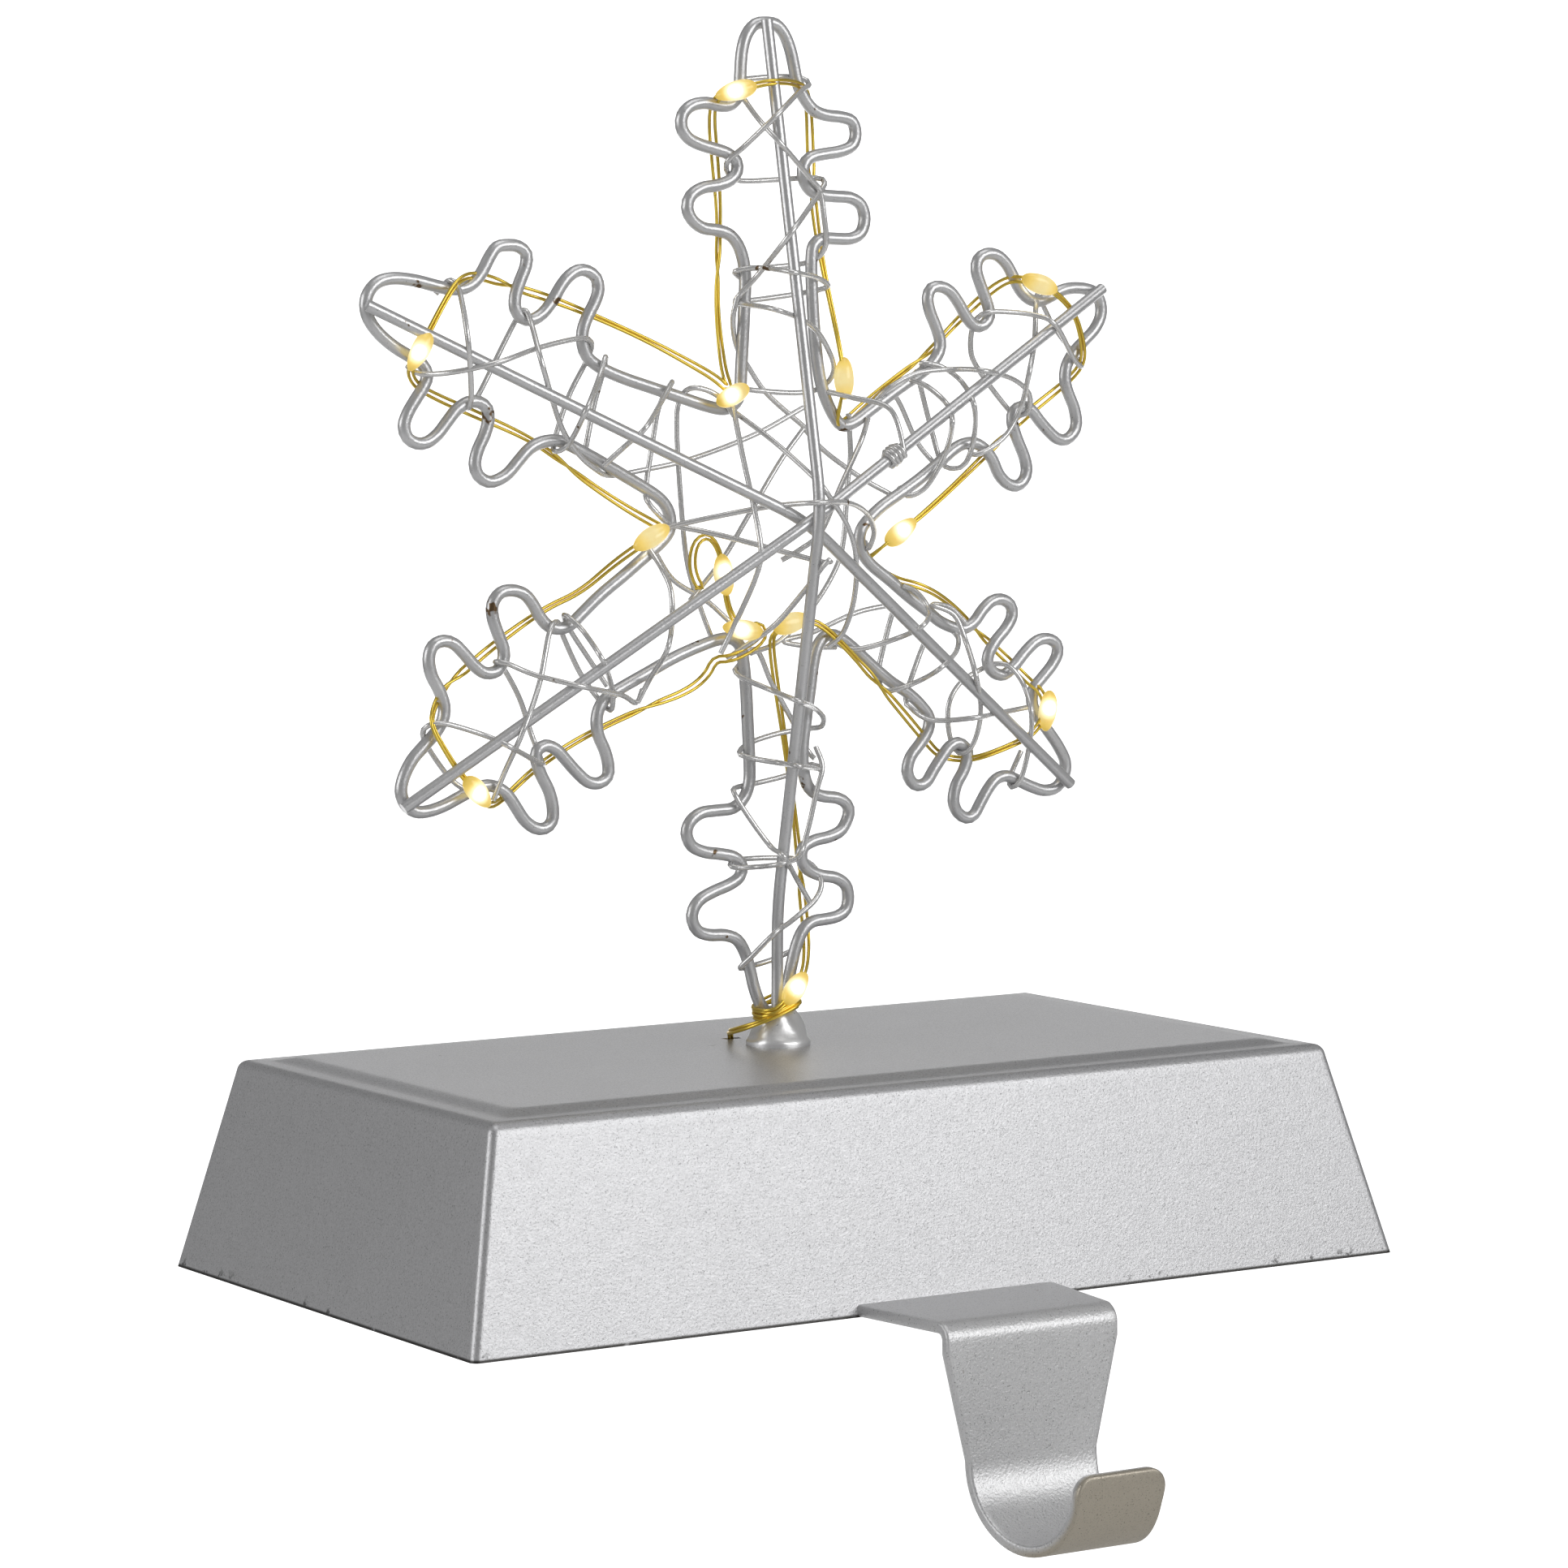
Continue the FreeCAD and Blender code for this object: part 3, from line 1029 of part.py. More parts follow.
def main():
    os.makedirs("parts", exist_ok=True)
    save("base_shell", base_shell())
    save("bottom_plate", bottom_plate())
    save("mantel_pad", mantel_pad())
    save("hook_strip", hook_strip())
    save("hook_screws", hook_screws())
    save("hook_nuts", hook_nuts())
    save("plate_screws", plate_screws())
    save("weight_left", weight(-1))
    save("weight_right", weight(1))
    save("battery_tray", battery_tray())
    save("cell_front", cell(0))
    save("cell_rear", cell(1))
    save("contact_bridge", contact_bridge())
    save("contact_negative", contact_negative())
    save("contact_positive", contact_positive())
    save("battery_cover", battery_cover())
    save("switch_housing", switch_housing())
    save("switch_slider", switch_slider())
    save("control_board", control_board())
    save("board_resistor", board_resistor())
    save("lead_negative", lead_to_board(0))
    save("lead_positive", lead_to_board(1))
    save("foot_cone", foot_cone())
    save("foot_stud", foot_stud())
    save("foot_washer", foot_washer())
    save("foot_nut", foot_nut())
    save("snowflake_outline", snowflake_outline())
    save("ridge_rod_upright", ridge_rod(0, 3, 0))
    save("ridge_rod_rising", ridge_rod(2, 5, 1))
    save("ridge_rod_falling", ridge_rod(1, 4, 2))
    for index, name in enumerate(["top", "upper_left", "lower_left", "bottom", "lower_right", "upper_right"]):
        level = [0, 2, 1][index % 3]
        save("binding_wire_" + name, binding_wire(index, level))
    centre = [Vec(FLAKE_X + x, FOOT_Y - depth, FLAKE_Z + z) for x, depth, z in CENTRE_WIRE]
    save("binding_wire_centre", thin_wire(centre, BINDING_D, BINDING_SIDES))
    save("lamp_wires", lamp_wires())
    save("lamps", lamps())


main()
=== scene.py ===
import bpy
import random
from math import atan, atan2, copysign, cos, exp, hypot, pi, radians, sin, sqrt
from mathutils import Euler, Matrix, Vector


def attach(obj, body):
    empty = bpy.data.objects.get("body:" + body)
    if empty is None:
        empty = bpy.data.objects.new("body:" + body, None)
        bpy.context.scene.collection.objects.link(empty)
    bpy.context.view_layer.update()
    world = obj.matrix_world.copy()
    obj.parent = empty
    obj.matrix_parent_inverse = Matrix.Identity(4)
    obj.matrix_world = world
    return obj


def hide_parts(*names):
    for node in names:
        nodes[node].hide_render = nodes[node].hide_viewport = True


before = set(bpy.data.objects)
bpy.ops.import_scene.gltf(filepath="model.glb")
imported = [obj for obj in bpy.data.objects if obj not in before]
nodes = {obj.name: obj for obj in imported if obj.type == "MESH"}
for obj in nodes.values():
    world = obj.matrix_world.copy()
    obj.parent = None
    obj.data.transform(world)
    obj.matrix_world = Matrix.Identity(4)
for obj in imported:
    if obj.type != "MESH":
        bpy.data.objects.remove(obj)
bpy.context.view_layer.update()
random.seed(7)

# The base shell is a hollow box of thin pressed steel, open below, with sloping sides, a soft rim
# and a slightly raised top; four posts inside take the screws. It is sprayed with a fine metallic
# silver paint with dark flecks, scuffed along its lower edge, and a thin line of painted shade runs
# along the very bottom. Sizes are in millimetres.


def new_material(name):
    material = bpy.data.materials.new(name)
    material.use_nodes = True
    tree = material.node_tree
    place = tree.nodes.new("ShaderNodeTexCoord").outputs["Object"]
    return material, tree, tree.nodes["Principled BSDF"], place


def noise(tree, place, scale, detail=4.0, rough=0.6):
    node = tree.nodes.new("ShaderNodeTexNoise")
    node.inputs["Scale"].default_value = scale
    node.inputs["Detail"].default_value = detail
    node.inputs["Roughness"].default_value = rough
    tree.links.new(place, node.inputs["Vector"])
    return node.outputs["Fac"]


def ramp(tree, value, stops):
    """Shades between stops; a stop is (where, shade), and a shade is a colour or a grey's value."""
    node = tree.nodes.new("ShaderNodeValToRGB")
    elements = node.color_ramp.elements
    while len(elements) < len(stops):
        elements.new(0.5)
    for element, (where, shade) in zip(elements, stops):
        element.position = where
        element.color = (*shade, 1) if isinstance(shade, tuple) else (shade, shade, shade, 1)
    tree.links.new(value, node.inputs["Fac"])
    return node.outputs["Color"]


def blended(tree, share, first, second, way="MIX"):
    node = tree.nodes.new("ShaderNodeMix")
    node.data_type = "RGBA"
    node.blend_type = way
    if isinstance(share, float):
        node.inputs["Factor"].default_value = share
    else:
        tree.links.new(share, node.inputs["Factor"])
    for socket, value in ((6, first), (7, second)):
        if isinstance(value, tuple):
            node.inputs[socket].default_value = (*value, 1)
        else:
            tree.links.new(value, node.inputs[socket])
    return node.outputs[2]


def bumped(tree, shader, height, strength):
    node = tree.nodes.new("ShaderNodeBump")
    node.inputs["Strength"].default_value = strength
    node.inputs["Distance"].default_value = 0.0001
    tree.links.new(height, node.inputs["Height"])
    tree.links.new(node.outputs["Normal"], shader.inputs["Normal"])


def spots(tree, place, scale, limit, soft=0.03, rough=0.7):
    """White in the low places of a noise, so a few small spots; the limit sets how many."""
    return ramp(tree, noise(tree, place, scale, 3.0, rough), [(limit, 1), (limit + soft, 0)])


def split_xyz(tree, vector):
    node = tree.nodes.new("ShaderNodeSeparateXYZ")
    tree.links.new(vector, node.inputs["Vector"])
    return node.outputs


def surface(name, colour, metallic, roughness, grain=900.0, vary=0.08, bump=0.15, fleck=0.0,
            chip=0.0, chip_colour=(0.16, 0.10, 0.05), uneven=0.12, speck=0.0):
    """A finish with uneven colour and gloss, a fine grain, dark flecks and larger worn chips."""
    material, tree, shader, place = new_material(name)
    dark = tuple(c * (1 - vary) for c in colour)
    light = tuple(min(1.0, c * (1 + vary)) for c in colour)
    shade = ramp(tree, noise(tree, place, 60.0), [(0.3, dark), (0.7, light)])
    if speck:
        fine = noise(tree, place, grain * 1.2, 1.0)
        fine = ramp(tree, fine, [(0.35, 1 - speck), (0.65, 1)])
        shade = blended(tree, 1.0, shade, fine, "MULTIPLY")
    if fleck:
        flecks = spots(tree, place, grain * 1.7, fleck, 0.05, 0.75)
        shade = blended(tree, flecks, shade, tuple(c * 0.42 for c in colour))
    if chip:
        shade = blended(tree, spots(tree, place, 230.0, chip), shade, chip_colour)
    tree.links.new(shade, shader.inputs["Base Color"])
    shader.inputs["Metallic"].default_value = metallic
    gloss = [(0.3, roughness * (1 - uneven)), (0.7, roughness * (1 + uneven))]
    gloss = ramp(tree, noise(tree, place, grain * 0.3), gloss)
    tree.links.new(gloss, shader.inputs["Roughness"])
    bumped(tree, shader, noise(tree, place, grain, 2.0), bump)
    return material


def cover(mesh, material, degrees):
    """Gives a mesh its material and smooth shading; edges that turn by more degrees stay sharp."""
    mesh.materials.clear()
    mesh.materials.append(material)
    mesh.shade_smooth()
    mesh.set_sharp_from_angle(angle=radians(degrees))


def mesh_object(name, points, faces, material):
    mesh = bpy.data.meshes.new(name)
    mesh.from_pydata(points, [], faces)
    mesh.update()
    cover(mesh, material, 70)
    piece = bpy.data.objects.new(name, mesh)
    bpy.context.scene.collection.objects.link(piece)
    return piece


def ring_faces(first, rings, around, closed=False):
    """Faces over rings of points that follow each other; both ends get a cap unless it is closed."""
    faces = []
    for i in range(rings if closed else rings - 1):
        here, there = first + i * around, first + (i + 1) % rings * around
        for k in range(around):
            m = (k + 1) % around
            faces.append((here + k, here + m, there + m, there + k))
    if not closed:
        last = first + (rings - 1) * around
        faces += [tuple(range(first, first + around))[::-1], tuple(range(last, last + around))]
    return faces


MM = 0.001
SHELL_LOW, SHELL_HIGH, PLATEAU = 0.3, 30.3, 31.0
SHELL_HALF = (75.0, 45.0)
TAPER = 7.0 / 30.0
SHELL_WALL = 1.2
SIDE_HEIGHTS = (SHELL_LOW, 0.8, 28.0)
RIM_R, CORNER_R, BESIDE_CORNER = 1.7, 1.15, 0.4
RISE_START, RISE_WIDTH, RISE_END = 1.6, 3.8, 6.0
RISE_R, RISE_R_GAIN, FLAT_R, INNER_R, LEAST_R = 0.6, 1.6, 2.4, 0.5, 0.4
LAMP_HOLE, LAMP_HOLE_R = (-1.3, 12.3), 1.5
POSTS = [(x, y) for x in (-60.0, 60.0) for y in (-31.0, 31.0)]
POST_R, POST_BORE_R, POST_LOW, POST_HIGH = 3.5, 1.2, 4.6, 29.3
SCUFFS_END = 2.2


def shell_ring(inset, height, corner):
    """A rounded rectangle; inset is measured in from the lower edge. A point stands close beside
    each end of an arc, to keep the flat sides flat."""
    ring = []
    half_x, half_y = (half - inset - corner for half in SHELL_HALF)
    for x, y, start in ((1, 1, 0), (-1, 1, 90), (-1, -1, 180), (1, -1, 270)):
        turns = [radians(start + 90 * k / 8) for k in range(9)]
        arc = [Vector((x * half_x + corner * cos(turn), y * half_y + corner * sin(turn), height)) for turn in turns]
        before = Vector((sin(turns[0]), -cos(turns[0]), 0)) * BESIDE_CORNER
        after = Vector((-sin(turns[-1]), cos(turns[-1]), 0)) * BESIDE_CORNER
        ring += [place * MM for place in (arc[0] + before, *arc, arc[-1] + after)]
    return ring


def hole_ring(outer, height):
    """The edge of the lamp wires' hole, with one point for each point of the ring outside it."""
    x, y = LAMP_HOLE
    turns = [atan2(place.y - y * MM, place.x - x * MM) for place in outer]
    return [Vector((x + LAMP_HOLE_R * cos(turn), y + LAMP_HOLE_R * sin(turn), height)) * MM for turn in turns]


def eased(share):
    return share**2 * (3 - 2 * share)


lean = atan(TAPER)
rim_height = SHELL_HIGH - RIM_R
rim_inset = (rim_height - SHELL_LOW) * TAPER + RIM_R / cos(lean)
ceiling = SHELL_HIGH - SHELL_WALL
rings = [shell_ring((z - SHELL_LOW) * TAPER, z, CORNER_R) for z in SIDE_HEIGHTS]
for k in range(9):
    turn = lean + (pi / 2 - lean) * k / 8
    rings.append(shell_ring(rim_inset - RIM_R * cos(turn), rim_height + RIM_R * sin(turn),
                            max(LEAST_R, CORNER_R * cos(turn))))
for k in range(11):
    share = k / 10
    height = SHELL_HIGH + (PLATEAU - SHELL_HIGH) * eased(share)
    rings.append(shell_ring(rim_inset + RISE_START + RISE_WIDTH * share, height, RISE_R + RISE_R_GAIN * share))
flat = shell_ring(rim_inset + RISE_END, PLATEAU, FLAT_R)
rings += [flat, hole_ring(flat, PLATEAU), hole_ring(flat, ceiling)]
rings += [shell_ring((z - SHELL_LOW) * TAPER + SHELL_WALL, z, INNER_R) for z in (ceiling, SHELL_LOW)]
points = [place for ring in rings for place in ring]
faces = ring_faces(0, len(rings), len(flat), closed=True)
for x, y in POSTS:
    faces += [face[::-1] for face in ring_faces(len(points), 4, 24, closed=True)]
    for radius, z in ((POST_R, POST_HIGH), (POST_R, POST_LOW), (POST_BORE_R, POST_LOW), (POST_BORE_R, POST_HIGH)):
        for turn in (radians(degrees) for degrees in range(0, 360, 15)):
            points.append(Vector((x + radius * cos(turn), y + radius * sin(turn), z)) * MM)
silver_paint = surface("silver_paint", (0.63, 0.63, 0.642), 0.85, 0.43, grain=2600.0, vary=0.015, bump=0.4,
                       fleck=0.36, chip=0.22, chip_colour=(0.2, 0.19, 0.18), uneven=0.04, speck=0.11)
tree = silver_paint.node_tree
shader = tree.nodes["Principled BSDF"]
place = tree.nodes.new("ShaderNodeTexCoord").outputs["Object"]
nearness = tree.nodes.new("ShaderNodeMapRange")
nearness.inputs["From Min"].default_value = SHELL_LOW * MM
nearness.inputs["From Max"].default_value = SCUFFS_END * MM
nearness.inputs["To Min"].default_value = 1.0
nearness.inputs["To Max"].default_value = 0.0
tree.links.new(split_xyz(tree, place)["Z"], nearness.inputs["Value"])
nearness = nearness.outputs["Result"]
scuffs = blended(tree, 1.0, nearness, spots(tree, place, 420.0, 0.34, 0.05), "MULTIPLY")
# The lowest half millimetre is painted nearly black as painted shade under the rim. The scuffs above it are wear.
painted_shade_edge = ramp(tree, nearness, [(0.72, 0), (0.86, 0.95)])
painted_shade_edge = blended(tree, 1.0, painted_shade_edge, spots(tree, place, 160.0, 0.62, 0.12), "MULTIPLY")
scuffs_and_painted_shade = blended(tree, 1.0, scuffs, painted_shade_edge, "LIGHTEN")
paint = shader.inputs["Base Color"].links[0].from_socket
tree.links.new(blended(tree, scuffs_and_painted_shade, paint, (0.035, 0.033, 0.03)), shader.inputs["Base Color"])
shell = mesh_object("shell", points, faces, silver_paint)
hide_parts("base_shell")
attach(shell, "holder")

# The bottom is a black moulded plate held by four pan-head screws, with a thin foam pad on it
# that stands a little proud of the shell's lower edge.


def paint_nodes(material, *names):
    for name in names:
        cover(nodes[name].data, material, 32)


paint_nodes(surface("plate_black", (0.03, 0.03, 0.031), 0.0, 0.55, grain=1500.0, vary=0.2), "bottom_plate")
paint_nodes(surface("pad_black", (0.018, 0.018, 0.018), 0.0, 0.9, grain=2200.0, vary=0.3, bump=0.8), "mantel_pad")
paint_nodes(surface("steel", (0.56, 0.56, 0.57), 1.0, 0.33, grain=1800.0, vary=0.08),
            "plate_screws", "hook_screws", "hook_nuts", "foot_stud", "foot_washer", "foot_nut")

# Inside are two weights of grey cast iron, rough as they come from the mould, which keep the
# holder on the mantel. They are bonded to the plate.
paint_nodes(surface("weight_iron", (0.11, 0.11, 0.112), 0.7, 0.75, grain=700.0, vary=0.25, bump=1.0),
            "weight_left", "weight_right")

# The battery tray and its hinged cover are moulded in matte black plastic; the two cells have a
# dark printed sleeve and sit between nickel-plated contact sheets.
paint_nodes(surface("tray_plastic", (0.035, 0.035, 0.037), 0.0, 0.5, grain=1900.0, vary=0.15, bump=0.3),
            "battery_tray", "battery_cover")
paint_nodes(surface("cell_wrap", (0.05, 0.055, 0.06), 0.3, 0.25, grain=900.0, vary=0.12), "cell_front", "cell_rear")
paint_nodes(surface("contact_nickel", (0.66, 0.63, 0.57), 1.0, 0.22, grain=1500.0),
            "contact_bridge", "contact_negative", "contact_positive")

# The slide switch is black plastic and stands on the plate, with a small green board and its
# resistor on top. Two leads in coloured plastic sleeves are soldered to the board and the tray.
paint_nodes(surface("switch_black", (0.02, 0.02, 0.021), 0.0, 0.45, grain=1900.0, vary=0.2),
            "switch_housing", "switch_slider")
paint_nodes(surface("board_green", (0.015, 0.10, 0.045), 0.0, 0.35, grain=1200.0, vary=0.2), "control_board")
paint_nodes(surface("resistor", (0.52, 0.38, 0.22), 0.0, 0.4, grain=1200.0, vary=0.15), "board_resistor")
paint_nodes(surface("lead_black", (0.02, 0.02, 0.02), 0.0, 0.45, grain=1500.0, vary=0.2), "lead_negative")
paint_nodes(surface("lead_red", (0.35, 0.02, 0.02), 0.0, 0.45, grain=1500.0, vary=0.15), "lead_positive")

# The stocking hook is one strip of thick sheet steel, cut to a taper and tumbled so its edges are
# soft, then folded down in front of the mantel and curled up; two screws hold it under the base.
# It wears the same silver paint. The outer face of its tip gets a brown tint as a painted reflection of warm
# surroundings.
STRIP_HALF_T, STRIP_SOFT, BESIDE_EDGE = 0.83, 0.42, 0.5
STRIP_UNDER = (-2.2, -2.6, -20.0, -45.0, -53.0)
FOLD, FOLD_R = (-60.9, -0.6), 1.75
STRIP_DOWN = (-2.3, -6.0, -11.5)
CURL, CURL_R = (-72.9, -17.1), 10.25
TIP_CORNER, TIP_TOP = 3.0, -15.9
TAPER_START, FOLD_START = -45.0, -61.8
HALF_BACK, HALF_FOLD, HALF_CURL, HALF_TIP = 16.0, 13.8, 10.3, 6.8
FLARE, FLARE_LONG = 0.6, 5.0
# How far from the tip the painted reflection reaches, and how softly it fades out.
REFLECTION_LONG, REFLECTION_FADE = 21.0, 5.0
BESIDE_TIP, MOST_SOFT = 0.2, 0.95


def bend(middle, radius, degrees, face):
    """The strip's middle round a bend; face is 1 where its upper face looks outwards there."""
    ways = [(cos(radians(turn)), sin(radians(turn))) for turn in degrees]
    return [(middle[0] + radius * y, middle[1] + radius * z, face * y, face * z) for y, z in ways]


front_y = CURL[0] + CURL_R
path = [(y, FOLD[1] + FOLD_R, 0.0, 1.0) for y in STRIP_UNDER]
path += bend(FOLD, FOLD_R, range(90, 181, 10), 1)
path += [(front_y, z, -1.0, 0.0) for z in STRIP_DOWN]
path += bend(CURL, CURL_R, range(0, -181, -5), -1)
lengths = [0.0]
for before, after in zip(path, path[1:]):
    lengths.append(lengths[-1] + hypot(after[0] - before[0], after[1] - before[1]))
whole = lengths[-1] + TIP_TOP - CURL[1]


def on_path(left):
    """The strip's middle and the way its upper face looks, where so much of its length is left."""
    along = whole - left
    if along >= lengths[-1]:
        return CURL[0] - CURL_R, TIP_TOP - left, 1.0, 0.0
    k = max(i for i in range(len(path) - 1) if lengths[i] <= along)
    share = (along - lengths[k]) / (lengths[k + 1] - lengths[k])
    y, z, face_y, face_z = (a + (b - a) * share for a, b in zip(path[k], path[k + 1]))
    size = hypot(face_y, face_z)
    return y, z, face_y / size, face_z / size


def rounded_off(radius, left):
    """What a round corner takes off, where so much of the length is left."""
    return radius - sqrt(radius**2 - max(0.0, radius - left)**2)


def strip_half(y, z, left):
    """Half the strip's width; it narrows to the fold, to the curl and then to the tip."""
    if y > FOLD_START or z > STRIP_DOWN[0]:
        share = min(1.0, max(0.0, y - FOLD_START) / (TAPER_START - FOLD_START))
        half = HALF_FOLD + (HALF_BACK - HALF_FOLD) * share
    elif y > front_y - 0.05 and z > CURL[1]:
        half = HALF_CURL + (HALF_FOLD - HALF_CURL) * (z - CURL[1]) / (STRIP_DOWN[0] - CURL[1])
    else:
        half = HALF_CURL + (HALF_TIP - HALF_CURL) * (front_y - y) / (2 * CURL_R)
        half += FLARE * max(0.0, 1 - left / FLARE_LONG)
    return half - rounded_off(TIP_CORNER, left)


def give_map(piece, name, places):
    """A map that gives a material two values at each of the piece's points."""
    layer = piece.data.uv_layers.new(name=name)
    for loop in piece.data.loops:
        layer.data[loop.index].uv = places[loop.vertex_index]


def read_map(tree):
    return split_xyz(tree, tree.nodes.new("ShaderNodeUVMap").outputs["UV"])


lefts = [whole - length for length in lengths if whole - length > TIP_CORNER + BESIDE_TIP]
lefts += [TIP_CORNER * (1 - cos(radians(turn))) for turn in (90, 80, 70, 60, 50, 40, 32, 24, 17, 11, 6, 0)]
points, reflection_shares = [], []
for left in lefts:
    y, z, face_y, face_z = on_path(left)
    half = strip_half(y, z, left)
    thick = STRIP_HALF_T - rounded_off(STRIP_SOFT, left)
    edge_r = min(STRIP_SOFT, thick * MOST_SOFT)
    for corner, (side, face) in enumerate(((1, 1), (-1, 1), (-1, -1), (1, -1))):
        ring = []
        for turn in (radians(90 * corner + 30 * k) for k in range(4)):
            ring.append((side * (half - edge_r) + edge_r * cos(turn), face * (thick - edge_r) + edge_r * sin(turn)))
        ring.insert(0 if corner % 2 else 4, (side * (half - edge_r - BESIDE_EDGE), face * thick))
        # Painted reflection: the outer face near the tip gets a share of a warm brown tint.
        brown = max(0.0, min(1.0, (REFLECTION_LONG - left) / REFLECTION_FADE)) if face < 0 else 0.0
        for across, out in ring:
            points.append(Vector((across, y + out * face_y, z + out * face_z)) * MM)
            reflection_shares.append((brown, 0.5))
hook_paint = surface("hook_paint", (0.73, 0.73, 0.735), 0.85, 0.45, grain=2600.0, vary=0.02,
                     bump=0.7, fleck=0.35, chip=0.25, uneven=0.05)
tree = hook_paint.node_tree
shader = tree.nodes["Principled BSDF"]
paint = shader.inputs["Base Color"].links[0].from_socket
# The painted reflection is a warm brown multiplied into the paint, by the map's first value.
reflected_tint = blended(tree, 1.0, paint, (0.69, 0.63, 0.52), "MULTIPLY")
tree.links.new(blended(tree, read_map(tree)["X"], paint, reflected_tint), shader.inputs["Base Color"])
hook = mesh_object("hook", points, ring_faces(0, len(lefts), 20), hook_paint)
give_map(hook, "brown", reflection_shares)
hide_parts("hook_strip")
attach(hook, "holder")

# The foot is a small turned cone on the base; solder and thick paint run over it unevenly where
# the snowflake's lowest tip stands in it.
FOOT = Vector((1.0, 3.0, PLATEAU)) * MM
FOOT_R = 4.68
FOOT_FLATS, FOOT_LUMPS, FOOT_DENTS, EVEN_BELOW = 0.22, 0.12, 0.1, 1.6
FOOT_PROFILE = [(4.62, 0.0), (FOOT_R, 0.35), (4.60, 0.75), (4.25, 1.15), (3.85, 2.0), (3.45, 3.0),
                (3.0, 4.0), (2.5, 4.8), (1.7, 5.3), (1.0, 5.45)]


def foot_dent(turn, height):
    """Flattened faces and a few lumps, which fade out towards the base."""
    flats = FOOT_FLATS * cos(3 * turn + 0.8)
    lumps = FOOT_LUMPS * sin(5 * turn + height) + FOOT_DENTS * sin(2 * turn - 1.3 * height)
    return (flats + lumps) * min(1.0, height / EVEN_BELOW)


points = []
for radius, height in FOOT_PROFILE:
    for turn in (radians(5 * k) for k in range(72)):
        dented = min(radius + foot_dent(turn, height), FOOT_R)
        points.append(FOOT + Vector((dented * cos(turn), dented * sin(turn), height)) * MM)
solder = surface("solder", (0.86, 0.86, 0.86), 0.75, 0.36, grain=700.0, vary=0.08, bump=0.4, fleck=0.28)
foot = mesh_object("foot", points, ring_faces(0, len(FOOT_PROFILE), 72), solder)
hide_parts("foot_cone")
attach(foot, "holder")

